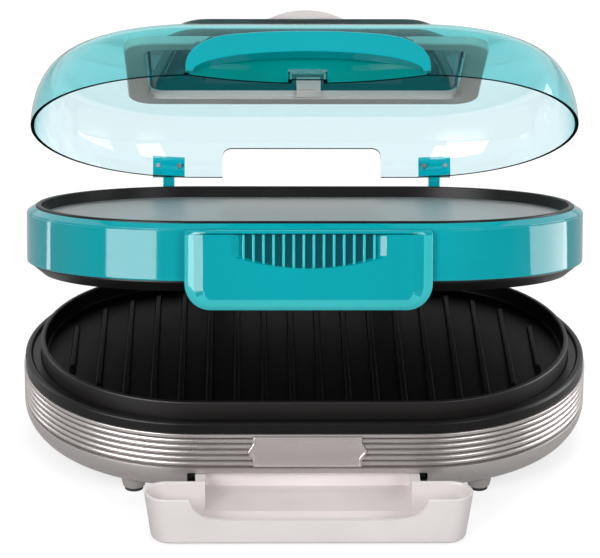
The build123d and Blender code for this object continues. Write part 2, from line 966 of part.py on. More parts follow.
def lid_arm_screws():
    """Screw places (X, Z) of both lid hinge arms."""
    x = lid_pad_w / 2 - screw_head_r - seat_gap
    z = lid_z + lid_arm_top_up
    return [(side * (lid_hinge_x + step * x), z) for side in (-1, 1) for step in (-1, 1)]


def make_lid_arm():
    """Right-hand arm from the lid pin up to a pad on the back wall of the lid."""
    half = lid_arm_w / 2
    pad = lid_pad_w / 2
    top_y = lid_y - lid_arm_top_back
    top_z = lid_z + lid_arm_top_up
    arm = link(lid_y, lid_z, lid_knuckle_r, top_y, top_z, lid_arm_top_r)
    body = plate_x(arm, lid_hinge_x - half, lid_hinge_x + half)
    front = half_d - lid_in - lid_curve_w / 2
    low = top_z - lid_pad_h / 2
    high = top_z + lid_pad_h / 2
    pad_back = top_y - lid_arm_top_r + lid_pad_t
    body += block(lid_hinge_x - pad, lid_hinge_x + pad, front, pad_back, low, high)
    body -= dome(lid_in, lid_rim_z, lid_curve_w, lid_h)
    body -= rod_x(lid_pin_r + run_gap, lid_hinge_x - pad, lid_hinge_x + pad, lid_y, lid_z)
    for x, z in lid_arm_screws():
        body -= rod_y(screw_r + run_gap, x, front, pad_back + over, z)
    return body


# Lid


def rounded_rect(x_half, y0, y1, radius):
    """Rounded rectangle centred on X, between two Y values."""
    return Pos(0, (y0 + y1) / 2) * RectangleRounded(2 * x_half, y1 - y0, radius)


def hump(inset, low, high):
    """Raised part of the lid top, with sloping sides, moved inwards by inset."""
    base = rounded_rect(hump_half - inset, hump_front + inset, hump_back - inset, hump_corner - inset)
    crest = rounded_rect(
        hump_half - hump_side_in - inset,
        hump_front + hump_end_in + inset,
        hump_back - hump_end_in - inset,
        hump_corner - hump_end_in - inset,
    )
    return loft([Pos(0, 0, low) * base, Pos(0, 0, high) * crest], ruled=True)


def recess_circle(deeper):
    """Radius and centre Y of the finger recess wall, moved inwards by deeper."""
    front = lid_in - half_d
    radius = (recess_half**2 + recess_deep**2) / (2 * recess_deep)
    return radius + deeper, front + recess_deep - radius


def nub(shrink, wall_y):
    """Low pocket that stands out from the recess wall, made smaller by shrink."""
    half = nub_half - shrink
    front = wall_y - nub_deep + shrink
    back = wall_y + shrink + over
    return block(-half, half, front, back, lid_rim_z - over, lid_rim_z + nub_h - shrink)


def lid_outside():
    """Outside of the clear lid with its hump, filled."""
    return dome(lid_in, lid_rim_z, lid_curve_w, lid_h) + hump(0, lid_top - lid_wall, hump_top)


def make_lid_shell():
    """Clear lid: domed wall, flat top with a hump, finger recess and rear cut-out."""
    outside = lid_outside()
    inside = dome(lid_in + lid_wall, lid_rim_z, lid_curve_w - lid_wall, lid_h - lid_wall)
    inside += hump(lid_wall, lid_under - over, hump_top - lid_wall)
    shell = outside - inside
    radius, centre_y = recess_circle(0)
    scoop = rod(radius, 0, centre_y, lid_rim_z - over, lid_rim_z + recess_h) - nub(0, centre_y + radius)
    liner = rod(radius + lid_wall, 0, centre_y, lid_rim_z, lid_rim_z + recess_h + lid_wall)
    shell = shell + (liner & outside) - scoop
    back = half_d - lid_in - lid_curve_w / 2
    gap = strip(
        (-cut_half, lid_rim_z - over - cut_corner),
        (cut_half, lid_rim_z - over - cut_corner),
        (cut_half, lid_rim_z + cut_h),
        (-cut_half, lid_rim_z + cut_h),
    )
    gap = fillet(gap.vertices(), cut_corner)
    shell -= plate_y(gap, back, half_d)
    shell -= nub(lid_wall, centre_y + radius)
    for x, z in lid_arm_screws():
        shell -= rod_y(screw_r + run_gap, x, back, half_d, z)
    return shell


def visor_arch():
    """Arch outline with soft shoulders and a low crown, drawn as (X, Z)."""
    low = lid_rim_z + visor_lift
    top = lid_rim_z + visor_h
    centre = (visor_half - visor_corner_w, top - visor_crown - visor_corner_h)
    right = EllipticalCenterArc(centre, visor_corner_w, visor_corner_h, 0, arc_size=visor_corner_turn)
    left = right.mirror(Plane.YZ)
    ends = (left @ 1, (0, top), right @ 1)
    base = Polyline(left @ 0, (-visor_half, low), (visor_half, low), right @ 0)
    return make_face([right, left, ThreePointArc(*ends), base])


def make_visor():
    """Opaque hood that arches over the finger recess and leans back onto the lid."""
    front = -visor_front
    crest = plate_y(visor_arch(), front, front + visor_depth)
    lean = strip(
        (front - over, lid_rim_z + visor_h + over),
        (front - over, lid_rim_z + visor_h - visor_lean_h),
        (front, lid_rim_z + visor_h - visor_lean_h),
        (front + visor_lean, lid_rim_z + visor_h + over),
    )
    crest -= plate_x(lean, -visor_half - over, visor_half + over)
    mouth = EllipticalCenterArc((0, lid_rim_z), visor_open_half, visor_open_h, 0, arc_size=180)
    floor = Line((-visor_open_half, lid_rim_z), (visor_open_half, lid_rim_z))
    crest -= plate_y(make_face([mouth, floor]), front - over, front + visor_depth + over)
    radius, centre_y = recess_circle(-seat_gap)
    scoop = rod(radius, 0, centre_y, lid_rim_z, lid_rim_z + recess_h - run_gap)
    return crest - (lid_outside() - scoop)


def make_lid_frame():
    """Frame under the flat top, round the hump opening, with a sloped inner edge."""
    low = lid_under - frame_t
    outer = Pos(0, 0, low) * rounded_rect(frame_half, frame_front, frame_back, frame_corner)
    bar = frame_bar
    inner = rounded_rect(frame_half - bar, frame_front + bar, frame_back - bar, frame_corner - bar / 2)
    body = extrude(outer, frame_t) - extrude(Pos(0, 0, low - over) * inner, frame_t + 2 * over)
    edges = body.faces().sort_by(Axis.Z)[0].edges()
    return chamfer(edges, frame_chamfer)


def make_lid_tab():
    """Stepped tab that hangs inside the hump, in front of the frame's rear bar."""
    top = hump_top - lid_wall
    half = tab_w / 2
    tab_y = frame_back - frame_bar - tab_gap
    body = block(tab_x - half, tab_x + half, tab_y - tab_t, tab_y, top - tab_l, top)
    for step in (1, 2):
        drop = top - step * tab_step_l
        body += block(tab_x - half, tab_x + half, tab_y - tab_t - step * tab_step_t, tab_y, drop, top)
    return body


def make_vent_cap():
    """Shallow round cap on the hump."""
    low = hump_top
    rise = cap_h - cap_edge
    crown_r = (cap_r**2 + rise**2) / (2 * rise)
    crown = CenterArc((0, low + cap_h - crown_r), crown_r, 90, -degrees(asin(cap_r / crown_r)))
    side = Polyline((0, low + cap_h), (0, low), (cap_r, low), (cap_r, low + cap_edge))
    face = make_face([side, crown])
    return revolve(upright(face, cap_y), Axis((0, cap_y, 0), (0, 0, 1)), 360)


# Screws


def screw_down(x, y, z):
    """Screw with its head on top of z, shank below."""
    return rod(screw_head_r, x, y, z, z + screw_head_h) + rod(screw_r, x, y, z - screw_depth, z)


def screw_up(x, y, z):
    """Screw with its head below z, shank above."""
    head = rod(screw_head_r, x, y, z - screw_head_h, z)
    return head + rod(screw_r, x, y, z, z + screw_depth)


def screw_back(x, y, z, length):
    """Screw with its head in front of y, shank towards the back."""
    return rod_y(screw_head_r, x, y - screw_head_h, y, z) + rod_y(screw_r, x, y, y + length, z)


def screw_front(x, y, z, length):
    """Screw with its head behind y, shank towards the front."""
    return rod_y(screw_head_r, x, y, y + screw_head_h, z) + rod_y(screw_r, x, y - length, y, z)


def make_base_screws():
    screws = [screw_up(x, y, cover_z) for x, y in four_corners(boss_in)]
    inside = half_d - base_wall
    length = base_wall + screw_depth / 2 - over
    return screws + [screw_back(x, inside, z, length) for x, z in bracket_screws()]


def make_middle_screws():
    screws = [screw_down(x, y, rim_flange_top) for x, y in four_corners(middle_boss_in)]
    behind = back_y + arm_pad_t
    screws += [screw_front(x, behind, z, arm_pad_t + middle_wall) for x, z in arm_screws()]
    foot = back_y + lug_t / 2
    return screws + [screw_front(x, foot, z, screw_depth / 2) for x, z in lug_screws()]


def make_lid_screws():
    behind = lid_y - lid_arm_top_back - lid_arm_top_r + lid_pad_t
    return [screw_front(x, behind, z, screw_depth / 2) for x, z in lid_arm_screws()]


# Drip tray


def tray_loop(inset, z):
    """Rounded outline of the tray bin at a height, drawn in by its draft."""
    share = (tray_top - z) / (tray_top - tray_low)
    pull = inset + share * tray_draft
    face = rounded_rect(
        tray_half_w - pull,
        tray_front_y + inset + share * over,
        tray_back_y - inset,
        tray_end_r - inset - run_gap - share * over,
    )
    return Pos(0, 0, z) * face


def scoop_face():
    """Finger scoop in the front wall: sloping sides, round corners and a shallow arc, as (X, Z)."""
    shoulder = tray_top - scoop_shoulder
    top = tray_top + over
    reach = scoop_half - scoop_side
    sides = Polyline(
        (reach, shoulder),
        (scoop_half, tray_top),
        (scoop_half, top),
        (-scoop_half, top),
        (-scoop_half, tray_top),
        (-reach, shoulder),
    )
    arc = ThreePointArc((-reach, shoulder), (0, tray_top - scoop_depth), (reach, shoulder))
    face = make_face([sides, arc])
    corners = [v for v in face.vertices() if abs(v.Y - shoulder) < over / 2]
    return fillet(corners, scoop_corner)


def make_drip_tray():
    """Front bin with a finger scoop, and the channel that slides into the base."""
    floor = tray_low + tray_floor_t
    bin_body = loft([tray_loop(0, tray_low), tray_loop(0, tray_top)], ruled=True)
    bin_body -= loft([tray_loop(tray_wall, floor), tray_loop(tray_wall, tray_top + over)], ruled=True)
    inner = channel_half - channel_wall
    channel_floor = channel_low + tray_floor_t
    step_y = tray_back_y - tray_wall
    channel = block(-channel_half, channel_half, step_y, channel_back_y, channel_low, channel_top)
    body = bin_body + channel
    body -= block(-inner, inner, step_y - over, channel_back_y - tray_wall, channel_floor, tray_top + over)
    body -= plate_y(scoop_face(), tray_front_y - over, tray_front_y + tray_wall + over)
    return Pos(0, -tray_out, 0) * body


def build():
    """Every named piece, in the open pose."""
    lower_heater_z = grill_z - heater_r - seat_gap
    upper_heater_z = flange_top + heater_r + seat_gap
    fixed = {
        "base_housing": make_base_housing(),
        "name_plate": make_name_plate(),
        "lower_bezel": make_bezel(),
        "lower_grill_plate": make_lower_grill_plate(),
        "lower_heater": make_heater(lower_heater_z, True),
        "lower_thermostat": make_thermostat(grill_z, True),
        "lower_reflector": make_reflector(),
        "bottom_cover": make_bottom_cover(),
        "foot_pads": make_foot_pads(),
        "tray_bay": make_tray_bay(),
        "drain_spout": make_drain_spout(),
        "cord_gland": make_gland(),
        "terminal_block": make_terminal_block(),
        "hinge_bracket_right": make_bracket(),
        "hinge_bracket_left": make_bracket().mirror(Plane.YZ),
        "main_hinge_pins": make_main_pins(),
        "base_screws": make_base_screws(),
        "drip_tray": make_drip_tray(),
    }
    middle = {
        "middle_housing": make_middle_housing(),
        "lower_frame": make_lower_frame(),
        "upper_grill_plate": make_upper_grill_plate(),
        "upper_heater": make_heater(upper_heater_z, False),
        "upper_thermostat": make_thermostat(flange_top, False),
        "bun_tray_rim": make_bun_rim(),
        "bun_plate": make_bun_plate(),
        "front_handle": make_front_handle(),
        "handle_backing": make_handle_backing(),
        "middle_hinge_arm_right": make_middle_arm(),
        "middle_hinge_arm_left": make_middle_arm().mirror(Plane.YZ),
        "lid_hinge_lugs": make_lid_lugs(),
        "lid_hinge_pins": make_lid_pins(),
        "middle_screws": make_middle_screws(),
    }
    lid = {
        "lid_shell": make_lid_shell(),
        "lid_visor": make_visor(),
        "lid_frame": make_lid_frame(),
        "lid_tab": make_lid_tab(),
        "vent_cap": make_vent_cap(),
        "lid_hinge_arm_right": make_lid_arm(),
        "lid_hinge_arm_left": make_lid_arm().mirror(Plane.YZ),
        "lid_screws": make_lid_screws(),
    }
    placed = dict(fixed)
    for group, move in ((middle, lift_middle), (lid, lift_lid)):
        for name, part in group.items():
            parts = part if isinstance(part, list) else [part]
            placed[name] = [move(piece) for piece in parts]
    return placed


for name, part in build().items():
    save(part, name)
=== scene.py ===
import json
from math import atan, cos, degrees, hypot, pi, radians, sin, sqrt, tan

import bmesh
import bpy
from mathutils import Euler, Matrix, Vector


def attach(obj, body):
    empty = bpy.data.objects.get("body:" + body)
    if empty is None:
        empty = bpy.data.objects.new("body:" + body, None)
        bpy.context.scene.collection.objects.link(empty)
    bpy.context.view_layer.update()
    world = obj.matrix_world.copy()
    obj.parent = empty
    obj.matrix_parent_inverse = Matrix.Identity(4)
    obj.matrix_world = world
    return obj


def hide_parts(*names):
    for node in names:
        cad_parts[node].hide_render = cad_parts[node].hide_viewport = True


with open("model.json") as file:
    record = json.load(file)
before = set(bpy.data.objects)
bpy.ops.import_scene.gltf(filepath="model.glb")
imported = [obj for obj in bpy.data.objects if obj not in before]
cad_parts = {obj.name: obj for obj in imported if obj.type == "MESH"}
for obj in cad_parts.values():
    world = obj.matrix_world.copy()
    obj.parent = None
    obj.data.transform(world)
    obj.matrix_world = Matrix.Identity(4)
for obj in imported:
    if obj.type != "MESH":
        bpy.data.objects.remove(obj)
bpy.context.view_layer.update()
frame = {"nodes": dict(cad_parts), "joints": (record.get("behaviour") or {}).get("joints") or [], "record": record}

MM = 0.001
WHITE = (1, 1, 1, 1)

# Camera, as the photograph was taken

PHOTO_W = 600
PHOTO_H = 558
FOCAL_PX = 3315.8
CENTRE_X_PX = 304.6
CENTRE_Y_PX = 336.4
DISTANCE = 2.0
ELEVATION = radians(23.47)
SIDE_TURN = radians(-1.2)
ROLL = radians(0.45)
AIM_HEIGHT = 0.06
SENSOR = 36.0


def add_object(name, data):
    """New object in the scene."""
    made = bpy.data.objects.new(name, data)
    bpy.context.scene.collection.objects.link(made)
    return made


def make_camera():
    """Camera at the fitted place, turned so that no lens shift is needed."""
    data = bpy.data.cameras.new("camera")
    data.sensor_width = SENSOR
    data.lens = FOCAL_PX / PHOTO_W * SENSOR
    data.clip_end = 20.0
    camera = add_object("camera", data)
    level = DISTANCE * cos(ELEVATION)
    height = AIM_HEIGHT + DISTANCE * sin(ELEVATION)
    place = Vector((level * sin(SIDE_TURN), -level * cos(SIDE_TURN), height))
    look = (Vector((0, 0, AIM_HEIGHT)) - place).to_track_quat("-Z", "Y")
    pitch = atan((CENTRE_Y_PX - PHOTO_H / 2) / FOCAL_PX)
    yaw = atan((CENTRE_X_PX - PHOTO_W / 2) / FOCAL_PX)
    camera.rotation_mode = "QUATERNION"
    camera.rotation_quaternion = look @ Euler((pitch, yaw, ROLL)).to_quaternion()
    camera.location = place
    bpy.context.scene.camera = camera


# Material tools


def linear(red, green, blue):
    """Linear colour from 0 to 255 screen values."""
    values = []
    for value in (red, green, blue):
        share = value / 255
        values.append(share / 12.92 if share <= 0.04045 else ((share + 0.055) / 1.055) ** 2.4)
    return (*values, 1.0)


def new_material(name, color, roughness, metallic=0.0, **extra):
    """Material and its shader, with values set on the shader's own sockets."""
    material = bpy.data.materials.new(name)
    material.use_nodes = True
    shader = material.node_tree.nodes["Principled BSDF"]
    shader.inputs["Base Color"].default_value = color
    shader.inputs["Roughness"].default_value = roughness
    shader.inputs["Metallic"].default_value = metallic
    for socket, value in extra.items():
        shader.inputs[socket.replace("_", " ")].default_value = value
    return material, shader


def add_noise(material, scale, detail, stretch=(1, 1, 1)):
    """Noise on the object's own coordinates, in cells per metre."""
    tree = material.node_tree
    place = tree.nodes.new("ShaderNodeTexCoord")
    mapping = tree.nodes.new("ShaderNodeMapping")
    mapping.inputs["Scale"].default_value = stretch
    noise = tree.nodes.new("ShaderNodeTexNoise")
    noise.inputs["Scale"].default_value = scale
    noise.inputs["Detail"].default_value = detail
    tree.links.new(place.outputs["Object"], mapping.inputs["Vector"])
    tree.links.new(mapping.outputs["Vector"], noise.inputs["Vector"])
    return noise.outputs["Fac"]


def add_range(material, source, low, high, socket):
    """Drive a shader socket between two values by a grey source."""
    tree = material.node_tree
    ramp = tree.nodes.new("ShaderNodeMapRange")
    ramp.inputs["To Min"].default_value = low
    ramp.inputs["To Max"].default_value = high
    tree.links.new(source, ramp.inputs["Value"])
    tree.links.new(ramp.outputs["Result"], socket)


def add_tint(material, source, shades, socket):
    """Drive a colour socket between a dark and a light shade, over the middle of a noise's range."""
    tree = material.node_tree
    ramp = tree.nodes.new("ShaderNodeValToRGB")
    dark, light = ramp.color_ramp.elements
    dark.position = 0.3
    light.position = 0.7
    dark.color = linear(*shades[0])
    light.color = linear(*shades[1])
    tree.links.new(source, ramp.inputs["Fac"])
    tree.links.new(ramp.outputs["Color"], socket)


def add_bump(material, source, shader, height, strength):
    """Surface relief from a grey source, height in millimetres."""
    tree = material.node_tree
    bump = tree.nodes.new("ShaderNodeBump")
    bump.inputs["Strength"].default_value = strength
    bump.inputs["Distance"].default_value = height * MM
    tree.links.new(source, bump.inputs["Height"])
    tree.links.new(bump.outputs["Normal"], shader.inputs["Normal"])


def add_finish(made, shades, rough, relief, noise, rough_noise=None, tint_noise=None):
    """Shades, roughness and relief (height, strength) that follow noise (scale, detail, stretch)."""
    material, shader = made
    grain = add_noise(material, *noise)
    wear = add_noise(material, *rough_noise) if rough_noise else grain
    cloud = add_noise(material, *tint_noise) if tint_noise else grain
    add_tint(material, cloud, shades, shader.inputs["Base Color"])
    add_range(material, wear, *rough, shader.inputs["Roughness"])
    add_bump(material, grain, shader, *relief)
    return material


def add_mix(tree, factor, first, second):
    """Shader that goes from the first to the second one with the factor."""
    mix = tree.nodes.new("ShaderNodeMixShader")
    for socket, source in zip(mix.inputs, (factor, first, second)):
        tree.links.new(source, socket)
    return mix.outputs["Shader"]


def add_math(tree, operation, source, other):
    """Result of a sum on a socket and another socket or a number."""
    node = tree.nodes.new("ShaderNodeMath")
    node.operation = operation
    tree.links.new(source, node.inputs[0])
    if isinstance(other, float):
        node.inputs[1].default_value = other
    else:
        tree.links.new(other, node.inputs[1])
    return node.outputs["Value"]


# Materials


def silver_lacquer():
    made = new_material("silver_lacquer", linear(188, 182, 180), 0.3, 0.8)
    shades = [(178, 172, 170), (200, 194, 192)]
    return add_finish(made, shades, (0.24, 0.34), (0.02, 0.5), (5200.0, 2.0), rough_noise=(35.0, 4.0))


def groove_shade_silver():
    """The same lacquer, darker and duller as painted shade at the bottom of the grooves."""
    made = new_material("groove_shade_silver", linear(92, 86, 84), 0.5, 0.3)
    return add_finish(made, [(84, 78, 76), (100, 94, 92)], (0.45, 0.6), (0.02, 0.5), (5200.0, 2.0))


def brushed_plate():
    made = new_material("brushed_plate", linear(200, 193, 192), 0.3, 0.8)
    shades = [(190, 183, 182), (210, 203, 202)]
    return add_finish(made, shades, (0.26, 0.4), (0.02, 0.4), (900.0, 4.0, (1, 1, 14)))


def black_plastic():
    made = new_material("black_plastic", linear(16, 14, 14), 0.36, Specular_IOR_Level=0.2)
    shades = [(13, 11, 11), (20, 18, 18)]
    return add_finish(made, shades, (0.3, 0.42), (0.04, 0.4), (2600.0, 3.0), rough_noise=(28.0, 3.0))


def nonstick(name, dark, light, level):
    made = new_material(name, linear(*dark), 0.42, Specular_IOR_Level=level)
    return add_finish(made, [dark, light], (0.36, 0.48), (0.06, 0.5), (1900.0, 4.0), rough_noise=(22.0, 4.0))


def teal_gloss(name, dark, light, level=0.3):
    made = new_material(name, linear(*dark), 0.1, Specular_IOR_Level=level)
    return add_finish(made, [dark, light], (0.05, 0.09), (0.01, 0.35), (420.0, 2.0), tint_noise=(14.0, 3.0))


def grey_plastic():
    made = new_material("grey_plastic", linear(172, 167, 162), 0.4)
    return add_finish(made, [(166, 161, 156), (179, 174, 169)], (0.36, 0.46), (0.04, 0.4), (2200.0, 3.0))


def light_grey_plastic():
    made = new_material("light_grey_plastic", linear(208, 200, 198), 0.35)
    return add_finish(made, [(203, 195, 193), (213, 206, 204)], (0.3, 0.42), (0.03, 0.4), (1800.0, 3.0))


def cream_plastic():
    made = new_material("cream_plastic", linear(235, 228, 227), 0.3)
    shades = [(231, 224, 223), (239, 232, 231)]
    return add_finish(made, shades, (0.26, 0.36), (0.02, 0.4), (1500.0, 2.0), tint_noise=(30.0, 3.0))


def rolled_metal():
    made = new_material("rolled_metal", linear(178, 177, 177), 0.36, 0.85)
    shades = [(168, 167, 167), (188, 187, 186)]
    return add_finish(made, shades, (0.3, 0.44), (0.02, 0.4), (700.0, 4.0, (1, 12, 12)))


def zinc_steel():
    made = new_material("zinc_steel", linear(182, 182, 184), 0.28, 1.0)
    return add_finish(made, [(168, 168, 171), (192, 192, 193)], (0.22, 0.36), (0.02, 0.4), (1400.0, 3.0))


def heater_sheath():
    made = new_material("heater_sheath", linear(104, 98, 92), 0.45, 0.9)
    return add_finish(made, [(84, 74, 70), (122, 116, 108)], (0.38, 0.55), (0.05, 0.4), (60.0, 4.0))


def ceramic():
    made = new_material("ceramic", linear(226, 222, 212), 0.4)
    return add_finish(made, [(218, 213, 203), (232, 229, 220)], (0.34, 0.48), (0.04, 0.4), (1200.0, 3.0))


def rubber():
    made = new_material("rubber", linear(40, 40, 41), 0.75)
    return add_finish(made, [(33, 33, 34), (48, 48, 49)], (0.66, 0.84), (0.08, 0.6), (1600.0, 4.0))


def painted_light_front_to_back(tree, front, back):
    """Colour that goes from the front wall's to the paler rest's over a stretch of Y, in metres; the paler back is
    painted light.
    """
    place = tree.nodes.new("ShaderNodeTexCoord")
    split = tree.nodes.new("ShaderNodeSeparateXYZ")
    reach = tree.nodes.new("ShaderNodeMapRange")
    reach.inputs["From Min"].default_value = -0.005
    reach.inputs["From Max"].default_value = 0.05
    tint = tree.nodes.new("ShaderNodeMix")
    tint.data_type = "RGBA"
    tint.inputs["A"].default_value = linear(*front)
    tint.inputs["B"].default_value = linear(*back)
    tree.links.new(place.outputs["Object"], split.inputs["Vector"])
    tree.links.new(split.outputs["Y"], reach.inputs["Value"])
    tree.links.new(reach.outputs["Result"], tint.inputs["Factor"])
    return tint.outputs["Result"]


def slanting_tint(tree, slanting, edge):
    """White face on, deeper at a slant and deepest edge on, as thicker plastic looks."""
    facing = tree.nodes.new("ShaderNodeLayerWeight")
    facing.inputs["Blend"].default_value = 0.5
    depth = tree.nodes.new("ShaderNodeValToRGB")
    first, last = depth.color_ramp.elements
    first.position = 0.55
    first.color = WHITE
    last.position = 0.97
    last.color = linear(*edge)
    depth.color_ramp.elements.new(0.86).color = linear(*slanting)
    tree.links.new(facing.outputs["Facing"], depth.inputs["Fac"])
    return depth.outputs["Color"]


def clear_teal(name, front, back, slanting, edge, shade):
    """Transparent tinted plastic that casts a light shadow in its own shade."""
    clear = {"Transmission_Weight": 1.0, "IOR": 1.4, "Specular_IOR_Level": 0.04}
    material, shader = new_material(name, linear(*back), 0.02, **clear)
    tree = material.node_tree
    both = tree.nodes.new("ShaderNodeMix")
    both.data_type = "RGBA"
    both.blend_type = "MULTIPLY"
    both.inputs["Factor"].default_value = 1.0
    # The paler back of the clear plastic is painted light.
    tree.links.new(painted_light_front_to_back(tree, front, back), both.inputs["A"])
    tree.links.new(slanting_tint(tree, slanting, edge), both.inputs["B"])
    tree.links.new(both.outputs["Result"], shader.inputs["Base Color"])
    flow = add_noise(material, 12.0, 2.0)
    add_range(material, flow, 0.012, 0.03, shader.inputs["Roughness"])
    add_bump(material, flow, shader, 0.04, 0.2)
    path = tree.nodes.new("ShaderNodeLightPath")
    veil = tree.nodes.new("ShaderNodeBsdfTransparent")
    veil.inputs["Color"].default_value = (*shade, 1.0)
    surface = add_mix(tree, path.outputs["Is Shadow Ray"], shader.outputs["BSDF"], veil.outputs["BSDF"])
    tree.links.new(surface, tree.nodes["Material Output"].inputs["Surface"])
    return material


SLOT_MATERIALS = {
    "silver_plastic": silver_lacquer(),
    "silver_plate": brushed_plate(),
    "black_plastic": black_plastic(),
    "nonstick_black": nonstick("nonstick", (3, 3, 3), (8, 7, 7), 0.08),
    "teal_plastic": teal_gloss("teal_gloss", (0, 161, 172), (0, 168, 179)),
    "clear_teal": clear_teal(
        "clear_teal", front=(151, 226, 229), back=(219, 238, 242), slanting=(150, 212, 212),
        edge=(20, 84, 88), shade=(0.87, 0.95, 0.955),
    ),
    "grey_plastic": grey_plastic(),
    "light_grey_plastic": light_grey_plastic(),
    "cream_plastic": cream_plastic(),
    "bun_plate_metal": rolled_metal(),
    "steel": zinc_steel(),
    "heater_steel": heater_sheath(),
    "ceramic": ceramic(),
    "rubber_black": rubber(),
}
# A darker tint of the clear plastic for the raised top and its slopes.
DARK_TOP_TEAL = clear_teal(
    "dark_top_teal", front=(8, 62, 66), back=(14, 76, 80), slanting=(120, 160, 160),
    edge=(30, 60, 60), shade=(0.3, 0.6, 0.62),
)
# Painted shade: dark teal for the fine groove along the grip and for the clear lid's edges.
EDGE_SHADE_TEAL = teal_gloss("edge_shade_teal", (0, 28, 32), (0, 34, 38), 0.0)
# Opaque teal for the recess wall, darkened as painted shade.
RECESS_SHADE_TEAL = teal_gloss("recess_shade_teal", (0, 128, 126), (0, 142, 139), 0.1)
# Painted highlight: pale teal for the handle's bevels and the fins' crests.
HIGHLIGHT_TEAL = teal_gloss("highlight_teal", (54, 197, 204), (60, 202, 209))
SHADE_TEAL = teal_gloss("shade_teal", (0, 84, 94), (0, 92, 102))
GROOVE_SHADE_SILVER = groove_shade_silver()
# Painted light: a lighter copy of the non-stick for the rim's top and outer side, which catch the light.
LIT_RIM_BLACK = nonstick("lit_rim_black", (22, 19, 18), (28, 25, 24), 0.3)


def dress_nodes():
    """Give every CAD node the material of its slot, and smooth shading between sharp edges."""
    slots = {part["node"]: part["material_slot"] for part in frame["record"]["subparts"]}
    for node, piece in frame["nodes"].items():
        material = SLOT_MATERIALS[slots[node]]
        if not piece.material_slots:
            piece.data.materials.append(material)
        for entry in piece.material_slots:
            entry.material = material
        piece.data.shade_smooth()
        piece.data.set_sharp_from_angle(angle=radians(30))


# Deck outline, in millimetres and drawn closed like the CAD model

HALF_W = 169.0
HALF_D = 110.0
STRAIGHT = 65.0
CORNER_TURN = 58.0
END_TURN = 90.0 - CORNER_TURN
SIDE_REACH = HALF_W - STRAIGHT
TURN_SIN = sin(radians(CORNER_TURN))
TURN_COS = cos(radians(CORNER_TURN))
FIT = TURN_SIN * TURN_COS - (1 - TURN_SIN) * (1 - TURN_COS)
CORNER_R = (SIDE_REACH * TURN_COS - (1 - TURN_SIN) * HALF_D) / FIT
END_R = (TURN_SIN * HALF_D - (1 - TURN_COS) * SIDE_REACH) / FIT
CORNER_Y = HALF_D - CORNER_R
END_X = HALF_W - END_R

# Heights above the ground, closed

BASE_Z = 8.0
SKIRT_TOP = 24.0
LIP_Z = 43.6
BASE_TOP = 46.2
GRILL_Z = 48.4
GRILL_TOP = 51.4
BEZEL_TOP = 53.4
GRILL_RIB_TOP = 54.4
GRILL_RIM_TOP = 62.0
FRAME_Z = 65.9
MIDDLE_Z = 72.8
MIDDLE_FLOOR = 75.8
FRAME_TOP = 77.8
BUN_RIM_Z = 94.8
BUN_PLATE_Z = 98.4
BEVEL_Z = 102.8
MIDDLE_TOP = 105.4
BUN_RIM_TOP = 106.6
LID_RIM = 107.0
LID_TOP = 143.5
HUMP_TOP = 156.5

# Other sizes that more than one piece follows

REAR = 115.0
WALL = 3.0
RIB_DEPTH = 1.5
FIRST_RIB_Z = 27.5
RIB_PITCH = 3.6
SKIRT_IN = 22.0
DECK_IN = 27.0
MIDDLE_IN = 2.7
LID_EDGE = 4.5
LID_IN = 24.5
LID_WALL = 2.2
RECESS_HALF = 68.0
RECESS_DEPTH = 15.5
RECESS_R = (RECESS_HALF**2 + RECESS_DEPTH**2) / (2 * RECESS_DEPTH)
RECESS_Y = LID_EDGE - HALF_D + RECESS_DEPTH - RECESS_R
RECESS_TOP = LID_RIM + 22.0
VISOR_TOP = LID_RIM + 26.5


def joint_turn(name):
    """Matrix from the closed to the photographed place, about one hinge."""
    joint = next(one for one in frame["joints"] if one["name"] == name)
    pivot = Vector(joint["pos_m"])
    turn = Matrix.Rotation(radians(joint["range_deg"][0]), 4, "X")
    return Matrix.Translation(pivot) @ turn @ Matrix.Translation(-pivot)


CLOSED_MIDDLE = joint_turn("middle_hinge") @ Matrix.Scale(MM, 4)
TRAY_OUT = 23.6
PLACES = {
    "base": Matrix.Scale(MM, 4),
    "middle": CLOSED_MIDDLE,
    "lid": joint_turn("lid_hinge") @ CLOSED_MIDDLE,
    "drip_tray": Matrix.Translation((0, -TRAY_OUT * MM, 0)) @ Matrix.Scale(MM, 4),
}

# Outlines


def ellipse_arc(centre, reach_x, reach_z, start, stop, steps):
    """Points on an ellipse between two angles in degrees."""
    points = []
    for step in range(steps + 1):
        angle = radians(start + (stop - start) * step / steps)
        points.append((centre[0] + reach_x * cos(angle), centre[1] + reach_z * sin(angle)))
    return points


def oval(inset):
    """Deck outline moved inwards, as (x, y), counterclockwise, always with the same count."""
    run_steps, turn_steps, end_steps = 8, 14, 30
    quarter = []
    for step in range(run_steps):
        quarter.append((STRAIGHT * (step + 0.5) / run_steps, inset - HALF_D))
    for step in range(turn_steps + 1):
        angle = radians(-90 + CORNER_TURN * step / turn_steps)
        radius = CORNER_R - inset
        quarter.append((STRAIGHT + radius * cos(angle), -CORNER_Y + radius * sin(angle)))
    for step in range(1, end_steps // 2 + 1):
        angle = radians(-END_TURN + 2 * END_TURN * (step - 0.5) / end_steps)
        radius = END_R - inset
        quarter.append((END_X + radius * cos(angle), radius * sin(angle)))
    right = quarter + [(x, -y) for x, y in reversed(quarter)]
    return right + [(-x, -y) for x, y in right]


def oval_at(inset, z):
    """The deck outline at one height."""
    return [(x, y, z) for x, y in oval(inset)]


